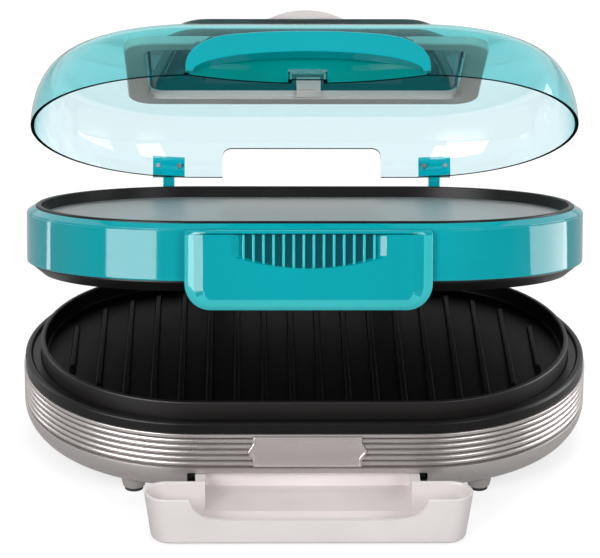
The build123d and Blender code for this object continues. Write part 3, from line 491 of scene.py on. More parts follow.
def ray_loop(guides, middle_y, half, deep, corner):
    """Rounded rectangle met by rays from its middle through the guide points."""
    loop = []
    for x, y in guides:
        run = y - middle_y
        low, high = 0.0, 1.0
        for _ in range(40):
            share = (low + high) / 2
            over_x = max(abs(x * share) - half + corner, 0)
            over_y = max(abs(run * share) - deep + corner, 0)
            if hypot(over_x, over_y) <= corner:
                low = share
            else:
                high = share
        loop.append((x * low, middle_y + run * low))
    return loop


def rounded_loop(half, y0, y1, corner, z):
    """Rounded rectangle at one height, counterclockwise from its front right corner."""
    mid, deep = (y0 + y1) / 2, (y1 - y0) / 2
    loop = []
    for side, end, first in ((1, -1, -90), (1, 1, 0), (-1, 1, 90), (-1, -1, 180)):
        centre = (side * (half - corner), mid + end * (deep - corner))
        loop += [(x, y, z) for x, y in ellipse_arc(centre, corner, corner, first, first + 90, 12)]
    return loop


def eased(points, radii, steps=4, closed=True):
    """Path with arcs instead of corners; radii is one number or one per point."""
    count = len(points)
    if not isinstance(radii, (list, tuple)):
        radii = [radii] * count
    path = []
    for index, (point, radius) in enumerate(zip(points, radii)):
        if radius <= 0 or not closed and index in (0, count - 1):
            path.append(point)
            continue
        here = Vector(point)
        before = Vector(points[index - 1]) - here
        after = Vector(points[(index + 1) % count]) - here
        cut = radius / max(tan(before.angle(after) / 2), 0.05)
        reach = min(cut, 0.45 * before.length, 0.45 * after.length)
        start = here + before.normalized() * reach
        end = here + after.normalized() * reach
        for step in range(steps + 1):
            share = step / steps
            path.append(tuple(start * (1 - share) ** 2 + here * 2 * share * (1 - share) + end * share**2))
    return path


def mirrored(points):
    """A right half followed by its mirror image."""
    return [*points, *[(-x, other) for x, other in reversed(points)]]


def height_at(points, x):
    """Second coordinate of a line at a given first one; the points run to the right."""
    for one, other in zip(points, points[1:]):
        if one[0] <= x <= other[0]:
            share = (x - one[0]) / max(other[0] - one[0], 1e-6)
            return one[1] + (other[1] - one[1]) * share
    return points[-1][1]


def turned(u, v, w, axis):
    """Point whose third number goes along the named axis, y or z."""
    return (u, w, v) if axis == "y" else (u, v, w)


# Solids


class Shape:
    """Growing list of points and faces, in millimetres."""

    def __init__(self):
        self.points = []
        self.faces = []

    def loop(self, points):
        first = len(self.points)
        self.points += [tuple(point) for point in points]
        return list(range(first, first + len(points)))

    def bridge(self, one, other):
        count = len(one)
        for index in range(count):
            after = (index + 1) % count
            self.faces.append((one[index], one[after], other[after], other[index]))

    def cap(self, loop):
        self.faces.append(tuple(loop))

    def stack(self, loops, closed=False):
        """Skin over loops of equal count, closed into a ring or capped at both ends."""
        made = [self.loop(loop) for loop in loops]
        for one, other in zip(made, made[1:]):
            self.bridge(one, other)
        if closed:
            self.bridge(made[-1], made[0])
        else:
            self.cap(made[0])
            self.cap(made[-1])
        return self

    def add(self, other):
        first = len(self.points)
        self.points += other.points
        self.faces += [tuple(first + index for index in face) for face in other.faces]


def ring(section, closed=True):
    """Section of (distance outside the outline, height) carried round the deck; an open one is capped."""
    return Shape().stack([oval_at(-out, z) for out, z in section], closed)


def prism(face, low, high, axis="z"):
    """Flat outline of (u, v) points given a thickness along one axis."""
    return Shape().stack([[turned(u, v, w, axis) for u, v in face] for w in (low, high)])


def drum(radii, centre, axis="z", count=32):
    """Round solid from (radius, place along the axis) pairs."""
    loops = []
    for radius, w in radii:
        circle = ellipse_arc(centre, radius, radius, 0, 360, count)[:-1]
        loops.append([turned(u, v, w, axis) for u, v in circle])
    return Shape().stack(loops)


def box_shape(x0, x1, y0, y1, z0, z1):
    return prism([(x0, y0), (x1, y0), (x1, y1), (x0, y1)], z0, z1)


# Pieces


def to_object(name, shape, body):
    """Mesh object of a shape at its body's place, with its faces turned outwards."""
    mesh = bpy.data.meshes.new(name)
    mesh.from_pydata([PLACES[body] @ Vector(point) for point in shape.points], [], shape.faces)
    work = bmesh.new()
    work.from_mesh(mesh)
    bmesh.ops.remove_doubles(work, verts=work.verts, dist=1e-7)
    bmesh.ops.recalc_face_normals(work, faces=work.faces)
    work.to_mesh(mesh)
    work.free()
    return add_object(name, mesh)


def settle_modifiers(piece):
    """Keep the result of a piece's modifiers as its own mesh."""
    bpy.context.view_layer.update()
    result = bpy.data.meshes.new_from_object(piece.evaluated_get(bpy.context.evaluated_depsgraph_get()))
    piece.modifiers.clear()
    piece.data = result


def join_in(piece, other, operation="UNION"):
    """Add another object's solid to a piece, or cut it out."""
    step = piece.modifiers.new("step", "BOOLEAN")
    step.operation = operation
    step.solver = "EXACT"
    step.object = other
    settle_modifiers(piece)
    bpy.data.objects.remove(other)


def combine(piece, shape, body, operation="DIFFERENCE"):
    """Cut a shape out of a piece, or add it to the piece, and keep the result."""
    join_in(piece, to_object("tool", shape, body), operation)


def append(piece, shape, body):
    """Put a shape into the same object without cutting anything."""
    extra = to_object("extra", shape, body)
    work = bmesh.new()
    work.from_mesh(piece.data)
    work.from_mesh(extra.data)
    work.to_mesh(piece.data)
    work.free()
    bpy.data.objects.remove(extra)


def finish_piece(piece, body, nodes, slot, sharp=32):
    """Shade a fine piece, let it ride on its body and stand for its CAD nodes."""
    piece.data.materials.clear()
    piece.data.materials.append(SLOT_MATERIALS[slot])
    piece.data.shade_smooth()
    piece.data.set_sharp_from_angle(angle=radians(sharp))
    even = piece.modifiers.new("even", "WEIGHTED_NORMAL")
    even.keep_sharp = True
    settle_modifiers(piece)
    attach(piece, body)
    if nodes:
        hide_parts(*nodes)


def make_piece(name, shape, body, nodes, slot, sharp=32):
    piece = to_object(name, shape, body)
    finish_piece(piece, body, nodes, slot, sharp)
    return piece


def paint(piece, body, material, chosen):
    """Give one more material to the faces that a test of closed place and normal chooses."""
    piece.data.materials.append(material)
    index = len(piece.data.materials) - 1
    back = PLACES[body].inverted()
    turn = back.to_3x3().normalized()
    for face in piece.data.polygons:
        x, y, z = back @ face.center
        if chosen(x, y, z, turn @ face.normal):
            face.material_index = index


def drill_rear(piece, places, front, body):
    """Screw holes at (x, z) places on both sides, from a depth to the back."""
    radius = 1.55
    for side in (-1, 1):
        for x, z in places:
            combine(piece, drum([(radius, front), (radius, REAR)], (side * x, z), "y", 16), body)


# Base


def base_section():
    """Outer and inner side of the housing wall, with five rounded ribs."""
    curve = 15.0
    centre = (-curve, SKIRT_TOP)
    height = SKIRT_TOP - BASE_Z
    path = [(-SKIRT_IN, BASE_Z)]
    path += ellipse_arc(centre, curve, height, -90, 0, 14)
    path += [(-0.1, SKIRT_TOP + 0.6), (-0.5, SKIRT_TOP + 0.9), (-RIB_DEPTH, SKIRT_TOP + 1.0)]
    for rib in range(5):
        path += ellipse_arc((-RIB_DEPTH, FIRST_RIB_Z + rib * RIB_PITCH), RIB_DEPTH, 1.45, -88, 88, 9)
    path += [(-RIB_DEPTH, LIP_Z), (-0.5, LIP_Z + 0.3), (0.0, LIP_Z + 0.8)]
    edge = [path[-1], (0.0, BASE_TOP), (-WALL, BASE_TOP), (-WALL, SKIRT_TOP)]
    path += eased(edge, [0, 0.4, 0.3, 0], 3, closed=False)[1:-1]
    path += ellipse_arc(centre, curve - WALL, height - WALL, 0, -90, 10)
    path.append((-SKIRT_IN, BASE_Z + WALL))
    return path


def make_base_housing():
    """Ribbed housing with the tray's mouth, the name plate's pocket, feet and rear holes."""
    piece = to_object("housing_shell", ring(base_section()), "base")
    front = -HALF_D - 1
    mouth = eased(mirrored([(69.5, 21.8), (69.5, 0.0)]), [1.2, 0, 0, 1.2], 3)
    combine(piece, prism(mouth, front, SKIRT_IN - HALF_D, "y"), "base")
    combine(piece, prism(name_plate_outline(0.3), front, 1.6 - HALF_D, "y"), "base")
    foot = [(5.7, 2.0), (6.3, 2.2), (6.6, 2.8), (7.2, 6.0), (8.3, 12.0), (9.5, 20.0)]
    for x in (-101.0, 101.0):
        for y in (-84.0, 84.0):
            combine(piece, drum(foot, (x, y), "z", 36), "base", "UNION")
    gland = 5.8
    combine(piece, drum([(gland, 90.0), (gland, REAR)], (0.0, 34.0), "y"), "base")
    drill_rear(piece, [(46.0, 36.25), (58.0, 36.25)], 100.0, "base")
    finish_piece(piece, "base", ["base_housing"], "silver_plastic", 34)
    loop = [Vector(point) for point in oval(RIB_DEPTH)]
    edges = list(zip(loop, loop[1:] + loop[:1]))
    # Painted shade: a darker lacquer at the bottom of the grooves between the ribs.
    paint(piece, "base", GROOVE_SHADE_SILVER, lambda x, y, z, normal: is_groove(x, y, z, edges))


def is_groove(x, y, z, edges):
    """True for a face at the bottom of a groove between two ribs."""
    if not SKIRT_TOP + 0.9 < z < LIP_Z + 0.2 or 0.55 < (z - FIRST_RIB_Z + 2.0) % RIB_PITCH < 3.55:
        return False
    return edge_distance(Vector((x, y)), edges) < 0.95


def edge_distance(place, edges):
    """Distance of a place from the nearest edge of an outline."""
    best = 1e9
    for one, other in edges:
        run = other - one
        share = min(max((place - one).dot(run) / run.length_squared, 0.0), 1.0)
        best = min(best, (one + run * share - place).length)
    return best


def name_plate_outline(grow):
    """Plate with bracket-shaped ends, as (x, z)."""
    half, low, high = 34.5 + grow, 25.6 - grow, 44.8 + grow
    notch = half - 3.2
    ear = 4.0
    right = [(notch, low), (notch, low + ear), (half, (low + high) / 2), (notch, high - ear), (notch, high)]
    return mirrored(right)


def make_name_plate():
    """Bare plate with a raised border, from (shrink, depth) levels."""
    levels = [(0.0, 1.6), (0.0, -0.1), (0.2, -0.45), (0.55, -0.6), (1.3, -0.6), (1.55, -0.45), (1.7, -0.3)]
    loops = []
    for shrink, y in levels:
        outline = eased(name_plate_outline(-shrink), 0.9, 3)
        loops.append([(x, y - HALF_D, z) for x, z in outline])
    make_piece("plate_blank", Shape().stack(loops), "base", ["name_plate"], "silver_plate", 40)


def make_bezel():
    """Black bezel with a lip, a gutter that the grill plate lies on, and the drain hole."""
    section = [(-1.0, BASE_TOP), (-1.0, 52.0), (-2.4, BEZEL_TOP), (-4.4, BEZEL_TOP), (-5.4, GRILL_TOP)]
    section += [(-10.2, GRILL_TOP), (-10.2, GRILL_Z), (-28.0, GRILL_Z), (-28.0, 45.9), (-3.3, 44.8)]
    section.append((-3.3, BASE_TOP))
    shape = ring(eased(section, [0.3, 1.6, 1.6, 0.8, 0.8, 0.3, 0.3, 0.2, 0.2, 0.2, 0.2], 4))
    piece = to_object("bezel", shape, "base")
    drain = 5.8
    combine(piece, drum([(drain, 40.0), (drain, 55.0)], (0.0, -84.0)), "base")
    finish_piece(piece, "base", ["lower_bezel"], "black_plastic")


def grill_rib(x):
    """One grill rib with a rounded crest and ends that slope down."""
    front = [point for point in oval(24.0) if point[1] < 0]
    reach = -height_at(sorted(front), abs(x))
    slope = [(-reach, 0.02), (-reach + 1.2, 0.5), (-reach + 3.5, 0.9), (-reach + 6.0, 1.0)]
    loops = []
    for y, share in [*slope, *[(-y, share) for y, share in reversed(slope)]]:
        top = GRILL_TOP + (GRILL_RIB_TOP - GRILL_TOP) * share
        low = GRILL_TOP - 0.5
        face = [(x - 2.1, low), (x + 2.1, low), (x + 1.5, top), (x - 1.5, top)]
        loops.append([(u, y, v) for u, v in eased(face, [0, 0, 0.9 * share, 0.9 * share], 4)])
    return Shape().stack(loops)


def is_grill_rim(x, y, z, normal):
    """True for the top and the outer side of the upright rim."""
    return z > GRILL_RIB_TOP + 0.2 and (normal.z > 0.5 or normal.x * x + normal.y * y > 0)


def make_lower_grill():
    """Plate with an upright rim, a drain notch and eighteen ribs."""
    section = [(-14.5, GRILL_Z), (-10.5, GRILL_Z), (-10.5, GRILL_RIM_TOP), (-13.3, GRILL_RIM_TOP)]
    section += [(-13.3, GRILL_TOP), (-20.0, GRILL_TOP)]
    path = eased(section, [0, 0.6, 1.2, 1.2, 2.0, 0], 5, closed=False)
    ribs = Shape()
    for pair in range(9):
        x = (pair + 0.5) * 16.3
        ribs.add(grill_rib(-x))
        ribs.add(grill_rib(x))
    piece = to_object("grill_lower", ring(path, closed=False), "base")
    combine(piece, box_shape(-5, 5, -87.5, -80.5, 47, 56), "base")
    append(piece, ribs, "base")
    finish_piece(piece, "base", ["lower_grill_plate"], "nonstick_black", 40)
    # Painted light on the rim's top and outer side.
    paint(piece, "base", LIT_RIM_BLACK, is_grill_rim)


# Drip tray

TRAY_Z = 1.0
TRAY_TOP = 29.0
TRAY_HALF = 93.3
TRAY_FRONT = -136.6
TRAY_BACK = -110.8


def tray_ring(pull, z):
    """Rounded outline of the tray bin at one height, narrower below, and pulled inwards."""
    lean = (TRAY_TOP - z) / (TRAY_TOP - TRAY_Z)
    front = TRAY_FRONT + lean + pull
    back = TRAY_BACK - pull
    corner = min(max(12.8 - pull - lean, 1.0), (back - front) / 2 - 0.05)
    return rounded_loop(TRAY_HALF - 3.8 * lean - pull, front, back, corner, z)


def make_tray():
    """Wide bin in front with a scoop in its wall, and a channel that runs into the base."""
    wall = 2.4
    levels = [(2.0, 1.0), (1.0, 1.15), (0.35, 1.7), (0.0, 2.8), (0.0, 9.0), (0.0, 18.0), (0.0, 27.9)]
    levels += [(0.25, 28.7), (0.8, 29.0), (1.7, 29.0), (2.15, 28.7), (wall, 28.0), (wall, 18.0), (wall, 8.0)]
    levels += [(3.0, 5.0), (4.2, 3.7), (6.0, 3.4)]
    loops = [tray_ring(pull, z) for pull, z in levels]
    piece = to_object("tray_bin_body", Shape().stack(loops), "drip_tray")
    half, back, floor = 64.7, -77.4, 8.3
    channel = eased(mirrored([(half, -112.0), (half, back)]), [0, 1.0, 1.0, 0], 3)
    combine(piece, prism(channel, floor, 21.0), "drip_tray", "UNION")
    inner = half - 5.8
    combine(piece, box_shape(-inner, inner, -114.2, back - wall, floor + wall, 31.0), "drip_tray")
    scoop = mirrored([(48.0, 16.2), (59.0, 17.6), (65.4, 22.8), (67.6, 29.2), (70.0, 31.0)])
    scoop = eased(scoop, [60.0, 16.0, 16.0, 3.0, 0, 0, 3.0, 16.0, 16.0, 60.0], 8)
    combine(piece, prism(scoop, -138.0, -133.0, "y"), "drip_tray")
    finish_piece(piece, "drip_tray", ["drip_tray"], "cream_plastic", 36)


# Middle


def make_middle_housing():
    """Teal ring with a fine step below its bevelled top edge."""
    section = [(-MIDDLE_IN, MIDDLE_Z), (-MIDDLE_IN, 101.7), (-3.3, 102.1), (-3.1, BEVEL_Z)]
    section += [(-7.3, MIDDLE_TOP), (-8.2, MIDDLE_TOP), (-8.2, 102.6), (-7.3, 102.6), (-5.5, 101.4)]
    section += [(-5.5, MIDDLE_FLOOR), (-10.0, MIDDLE_FLOOR), (-10.0, MIDDLE_Z)]
    shape = ring(eased(section, [1.0, 0.3, 0.15, 0.5, 0.7, 0.2, 0, 0, 0, 0.4, 0.3, 0.4], 5))
    piece = to_object("middle_shell", shape, "middle")
    drill_rear(piece, [(43.0, 85.8), (61.0, 85.8), (84.0, 86.5)], 90.0, "middle")
    finish_piece(piece, "middle", ["middle_housing"], "teal_plastic", 30)


def make_lower_frame():
    """Black frame below the ring, with four bosses."""
    section = [(-12.2, FRAME_Z), (-5.3, 71.6), (-5.3, MIDDLE_Z), (-10.3, MIDDLE_Z), (-10.3, MIDDLE_FLOOR)]
    section += [(-7.2, MIDDLE_FLOOR), (-7.2, FRAME_TOP), (-DECK_IN, FRAME_TOP), (-DECK_IN, MIDDLE_FLOOR)]
    section += [(-14.8, MIDDLE_FLOOR), (-14.8, FRAME_Z)]
    shape = ring(eased(section, [0.8, 0.6, 0.2, 0.1, 0.1, 0.2, 0.3, 0.3, 0.3, 0.3, 0.7], 4))
    reach = END_R - 21.0
    x = END_X + reach * cos(radians(30))
    y = reach * sin(radians(30))
    for place in ((-x, -y), (-x, y), (x, -y), (x, y)):
        shape.add(drum([(4.5, MIDDLE_FLOOR), (4.5, BUN_RIM_Z)], place))
    make_piece("frame_below", shape, "middle", ["lower_frame"], "black_plastic")


def make_bun_tray():
    """Black rim and the metal plate inside it."""
    section = [(-8.5, BUN_RIM_Z), (-8.5, BUN_RIM_TOP), (-11.5, BUN_RIM_TOP), (-11.5, BUN_PLATE_Z)]
    section += [(-16.0, BUN_PLATE_Z), (-16.0, 96.8), (-DECK_IN, 96.8), (-DECK_IN, BUN_RIM_Z)]
    shape = ring(eased(section, [0.3, 1.0, 1.0, 0.4, 0, 0, 0.3, 0.3], 4))
    make_piece("bun_rim", shape, "middle", ["bun_tray_rim"], "black_plastic")
    top = BUN_PLATE_Z + 1.6
    path = [(-30.0, BUN_PLATE_Z), (-11.8, BUN_PLATE_Z), (-11.8, top), (-30.0, top)]
    sheet = ring(eased(path, [0, 0.3, 0.5, 0], 3, closed=False), closed=False)
    make_piece("bun_sheet", sheet, "middle", ["bun_plate"], "bun_plate_metal")


# Front handle

HANDLE_HALF = 70.5
HANDLE_Z = 56.8
HANDLE_TOP = 103.0
HANDLE_CORNER = 15.0
LENS_HALF = 44.0
LENS_TOP = 100.7
LINE_Z = 100.75
LINE_TOP = 101.3
LENS_FLOOR_Y = -113.6


def handle_outline(side, bottom=None, top=None):
    """Front outline of the flap, as (x, z), with insets at its sides, bottom and top."""
    bottom = side if bottom is None else bottom
    half = HANDLE_HALF - side
    low = HANDLE_Z + bottom
    high = HANDLE_TOP - (side if top is None else top)
    wide, tall, corner = HANDLE_CORNER - side, HANDLE_CORNER - bottom, 3.0
    path = ellipse_arc((half - wide, low + tall), wide, tall, -90, 0, 10)
    return mirrored(path + ellipse_arc((half - corner, high - corner), corner, corner, 0, 90, 5))


def lens_outline():
    """Grip recess: straight top, short sides, round corners and an arc below, as (x, z)."""
    low, side = 81.4, 88.0
    path = [(LENS_HALF, side), (LENS_HALF, LENS_TOP), (-LENS_HALF, LENS_TOP), (-LENS_HALF, side)]
    sag = side - low
    radius = (LENS_HALF**2 + sag**2) / (2 * sag)
    span = degrees(atan(LENS_HALF / (radius - sag)))
    arc = ellipse_arc((0.0, low + radius), radius, radius, -90 - span, -90 + span, 24)[1:-1]
    return eased([*path, *arc], [8.0, 1.2, 1.2, 8.0, *[0] * len(arc)], 8)


def is_grip_floor(x, y, z, normal):
    """True for the bottom of the grip recess."""
    return abs(y - LENS_FLOOR_Y) < 0.1 and abs(x) < 39.0 and 80.0 < z < 101.0


def is_grip_line(x, y, z, normal):
    """True for the fine groove that runs along the recess's top edge."""
    return y < -116.2 and LINE_Z - 0.03 < z < LINE_TOP + 0.05


def is_highlight_bevel(x, y, z, normal):
    """True for the lower bevel up to its mitres, and for the outer bevel at both sides, which get a painted
    highlight.
    """
    depth = HANDLE_Z + HANDLE_CORNER - z
    lower = depth > 0 and depth > abs(x) - HANDLE_HALF + HANDLE_CORNER
    beside = abs(x) > 62.0 and z < 100.0 and y > -115.2
    return -116.85 < y < -111.8 and (lower or beside)


def make_handle():
    """Hollow flap with rounded bevels and a grip recess, from (side inset, top inset, y) levels."""
    levels = [(0.0, 0.0, -102.0), (0.0, 0.0, -111.3), (0.2, 0.0, -112.0), (0.7, 0.0, -112.6)]
    levels += [(3.9, 0.0, -114.5), (4.6, 0.0, -114.85), (5.4, 0.0, -115.1), (9.9, 0.1, -116.6)]
    levels += [(10.8, 0.6, -116.9), (11.8, 1.4, -117.0)]
    loops = [[(x, y, z) for x, z in handle_outline(side, 0.62 * side, top)] for side, top, y in levels]
    piece = to_object("handle_flap", Shape().stack(loops), "middle")
    combine(piece, prism(handle_outline(5.6), -114.5, -103.1, "y"), "middle")
    backing = mirrored([(20.0, 79.5), (46.5, 85.5), (46.5, HANDLE_TOP)])
    combine(piece, prism(eased(backing, 3.0, 4), -115.6, -111.1, "y"), "middle", "UNION")
    combine(piece, box_shape(-75, 75, MIDDLE_IN - HALF_D, -80, 50, MIDDLE_Z), "middle")
    deck = [(-40.0, MIDDLE_Z), (-MIDDLE_IN, MIDDLE_Z), (-MIDDLE_IN, BEVEL_Z)]
    deck += [(-7.3, MIDDLE_TOP), (-40.0, MIDDLE_TOP)]
    combine(piece, ring(deck, closed=False), "middle")
    flare = [(1.02, -117.4), (1.0, -117.0), (0.87, LENS_FLOOR_Y)]
    recess = [[(x * share, y, z) for x, z in lens_outline()] for share, y in flare]
    combine(piece, Shape().stack(recess), "middle")
    combine(piece, box_shape(-69.0, 69.0, -118.0, -116.3, LINE_Z, LINE_TOP), "middle")
    finish_piece(piece, "middle", ["front_handle"], "teal_plastic", 30)
    paint(piece, "middle", SHADE_TEAL, is_grip_floor)
    # Painted shade in the fine groove along the recess's top edge.
    paint(piece, "middle", EDGE_SHADE_TEAL, is_grip_line)
    # Painted highlight and reflection on the lower bevel and the outer side bevels.
    paint(piece, "middle", HIGHLIGHT_TEAL, is_highlight_bevel)


def grip_fin(x):
    """Upright fin in the recess, with a rounded crest that is lower at its foot."""
    foot_y = LENS_FLOOR_Y + 0.3
    half, crest_half, crest_y = 1.2, 0.75, -116.75
    edge = sorted(point for point in lens_outline() if point[1] < 95.0)
    low = max(height_at(edge, x - half), height_at(edge, x + half))
    crest = [(x - half, foot_y), (x - crest_half, crest_y), (x + crest_half, crest_y), (x + half, foot_y)]
    crest = eased(crest, [0, 0.6, 0.6, 0], 4)
    foot = [(u, min(v + 1.2, foot_y), low - 0.3) for u, v in crest]
    return Shape().stack([foot, [(u, v, low + 3.0) for u, v in crest], [(u, v, LENS_TOP) for u, v in crest]])


def make_fins():
    fins = Shape()
    for fin in range(14):
        fins.add(grip_fin((fin - 6.5) * 5.7))
    piece = make_piece("handle_fins", fins, "middle", [], "teal_plastic", 30)
    # Painted highlight on the fins' crests.
    paint(piece, "middle", HIGHLIGHT_TEAL, lambda x, y, z, normal: normal.y < -0.6)


# Lid

HUMP_HALF = 94.0
HUMP_DEEP = 56.0
HUMP_Y = -10.0
NOTCH_HALF = 50.0
NOTCH_TOP = 125.2


def lid_skin(wall):
    """Lid surface from the rim up to the crest of the raised top, moved inwards by the wall."""
    wide, tall = LID_IN - LID_EDGE - wall, LID_TOP - LID_RIM - wall
    curve = ellipse_arc((-LID_IN, LID_RIM), wide, tall, 0, 90, 16)
    loops = [oval_at(-out, z) for out, z in curve]
    profile = [(-9.0, 0.0), (-3.0, 0.0), (0.0, 0.35), (18.2, 12.1), (20.5, 13.0), (27.0, 13.0)]
    for side, rise in eased(profile, [0, 3.0, 3.0, 6.0, 6.0, 0], 5, closed=False):
        share = side / 20.0
        ends = 7.0 * share if side > 0 else side
        corner = max(22.0 - (7.05 * share if side > 0 else side), 4.0)
        flat = ray_loop(oval(LID_IN), HUMP_Y, HUMP_HALF - wall - side, HUMP_DEEP - wall - ends, corner)
        loops.append([(x, y, LID_TOP - wall + rise) for x, y in flat])
    return loops


def recess_drum(radius, low, high):
    """Upright drum about the axis of the finger recess."""
    return drum([(radius, low), (radius, high)], (0, RECESS_Y), "z", 256)


def pocket(shrink):
    """Low pocket that stands out from the recess wall."""
    half = 11.3 - shrink
    wall = RECESS_Y + RECESS_R + shrink
    outline = mirrored([(half, wall - 6.5), (half, wall + 1)])
    return prism(eased(outline, [1.5, 0, 0, 1.5], 4), 95.0, LID_RIM + 6.0 - shrink)


def is_hump(x, y, z, normal):
    """True for the raised top and its slopes."""
    return z > LID_TOP - 1.9 and abs(x) < HUMP_HALF + 1.5 and abs(y - HUMP_Y) < HUMP_DEEP + 1.5


def is_notch_edge(x, y, z, normal):
    """True for the edge of the notch behind."""
    return y > 95.0 and abs(x) < NOTCH_HALF + 0.2 and z < NOTCH_TOP + 0.2 and abs(normal.y) < 0.4


def is_rim_edge(x, y, z, normal):
    """True for the lid's lower edge."""
    return z < LID_RIM + 0.05 and abs(normal.z) > 0.9


def is_recess_wall(x, y, z, normal):
    """True for the outer face of the finger recess."""
    return abs(hypot(x, y - RECESS_Y) - RECESS_R) < 0.2 and LID_RIM < z < RECESS_TOP - 0.1


def make_lid_shell():
    """Clear shell with a finger recess and its liner, a pocket in it, and a notch behind."""
    skins = [lid_skin(0.0), lid_skin(LID_WALL)]
    shape = Shape()
    runs = [[shape.loop(loop) for loop in skin] for skin in skins]
    for run in runs:
        for one, other in zip(run, run[1:]):
            shape.bridge(one, other)
        shape.cap(run[-1])
    shape.bridge(runs[0][0], runs[1][0])
    piece = to_object("lid_clear", shape, "lid")
    liner = to_object("liner", recess_drum(RECESS_R + LID_WALL, LID_RIM, RECESS_TOP + LID_WALL), "lid")
    solid = Shape().stack([oval_at(LID_EDGE + 0.02, LID_RIM), *skins[0][1:]])
    combine(liner, solid, "lid", "INTERSECT")
    join_in(piece, liner)
    scoop = to_object("scoop", recess_drum(RECESS_R, 100.0, RECESS_TOP), "lid")
    combine(scoop, pocket(0.0), "lid")
    join_in(piece, scoop, "DIFFERENCE")
    notch = mirrored([(NOTCH_HALF, NOTCH_TOP), (NOTCH_HALF, 90.0)])
    combine(piece, prism(eased(notch, [6.0, 0, 0, 6.0], 6), 95.0, 112.0, "y"), "lid")
    combine(piece, pocket(LID_WALL), "lid")
    finish_piece(piece, "lid", ["lid_shell"], "clear_teal", 30)
    # The raised top and its slopes get the darker tint.
    paint(piece, "lid", DARK_TOP_TEAL, is_hump)
    # Painted shade on the edge of the notch behind and on the lid's lower edge.
    paint(piece, "lid", EDGE_SHADE_TEAL, is_notch_edge)
    paint(piece, "lid", EDGE_SHADE_TEAL, is_rim_edge)
    # The recess wall is opaque teal, darker with painted shade.
    paint(piece, "lid", RECESS_SHADE_TEAL, is_recess_wall)


def is_lit_rear_bar_face(x, y, z, normal):
    """True for the face of the rear bar that looks to the front."""
    return y > 25.0 and normal.y < -0.5


def make_lid_frame():
    """Frame bars with rounded corners and a sloped inner edge, from (inset, height) points."""
    half, front, back, low, full = 107.0, -72.0, 44.0, 136.1, 16.0
    section = [(0.0, 5.2), (0.0, 0.8), (0.8, 0.0), (10.9, 0.0), (12.5, 1.6), (12.5, 5.2)]
    loops = []
    for inset, z in eased(section, [0.2, 0.3, 0.3, 0.5, 0.5, 0.2], 3):
        corner = full - inset / 2 if inset > 6 else full - inset
        loops.append(rounded_loop(half - inset, front + inset, back - inset, corner, low + z))
    shape = Shape().stack(loops, closed=True)
    piece = make_piece("frame_under_top", shape, "lid", ["lid_frame"], "grey_plastic")
    # Painted light: the rear bar's front face, lit from the front, gets the lighter grey.
    paint(piece, "lid", SLOT_MATERIALS["light_grey_plastic"], is_lit_rear_bar_face)


def make_cap():
    """Round cap with a crown that is part of a sphere."""
    radius = 32.0
    edge = radius - 0.4
    rise = 11.0
    crown = (radius**2 + rise**2) / (2 * rise)
    top = HUMP_TOP + 14.0
    radii = [(edge, HUMP_TOP), (radius, HUMP_TOP + 0.4), (radius, HUMP_TOP + 2.1), (edge, HUMP_TOP + 3.3)]
    for step in range(1, 15):
        r = edge * (1 - step / 15)
        radii.append((r, top - crown + sqrt(crown**2 - r**2)))
    radii.append((0.4, top))
    make_piece("cap_round", drum(radii, (0.0, -25.0), "z", 64), "lid", ["vent_cap"], "light_grey_plastic", 40)


def arch_path(inset):
    """Outer line of the visor from the lower right over the top to the lower left, as (x, z)."""
    half, wide, tall = 70.0, 33.0, 20.0
    centre = (half - wide, VISOR_TOP - 2.0 - tall)
    path = [(half - inset, LID_RIM + 1.0), (half - inset, LID_RIM + 2.7)]
    path += ellipse_arc(centre, wide - inset, tall - inset, 0, 80, 14)
    side = list(path)
    end_x, end_z = path[-1]
    for step in range(1, 12):
        x = end_x * (1 - step / 6)
        path.append((x, end_z + (VISOR_TOP - inset - end_z) * (1 - (x / end_x) ** 2)))
    return path + [(-x, z) for x, z in reversed(side)]


def mouth_path(grow):
    """Lower edge of the visor, from left to right, as (x, z)."""
    return ellipse_arc((0.0, LID_RIM + 1.0), 65.5 + grow, 11.5 + grow, 180, 0, 40)


def make_visor():
    """Opaque hood with rounded front edges that leans back towards its top, from (inset, y) levels."""
    loops = []
    slope = 14.5
    for inset, y in [(1.1, -109.5), (0.45, -109.42), (0.12, -109.1), (0.0, -108.5), (0.0, -97.5)]:
        loop = []
        for x, z in arch_path(inset) + mouth_path(0.6 * inset):
            rise = max((z - VISOR_TOP + slope) / slope, 0.0)
            lean = 4.2 * rise**2 if y < -98.0 else 0.0
            loop.append((x, y + lean, z))
        loops.append(loop)
    piece = to_object("visor_hood", Shape().stack(loops), "lid")
    lid = Shape().stack([oval_at(LID_EDGE, LID_RIM - 1.0), *lid_skin(0.0)])
    solid = to_object("lid_solid", lid, "lid")
    combine(solid, recess_drum(RECESS_R - 0.3, 90.0, RECESS_TOP - 0.1), "lid")
    join_in(piece, solid, "DIFFERENCE")
    finish_piece(piece, "lid", ["lid_visor"], "teal_plastic", 35)


# Floor, backdrop and lights


def add_ray_kinds(tree):
    """1 for rays from the camera or through clear plastic, and 1 for glossy rays."""
    path = tree.nodes.new("ShaderNodeLightPath")
    seen = add_math(tree, "MAXIMUM", path.outputs["Is Camera Ray"], path.outputs["Is Transmission Ray"])
    return seen, path.outputs["Is Glossy Ray"]


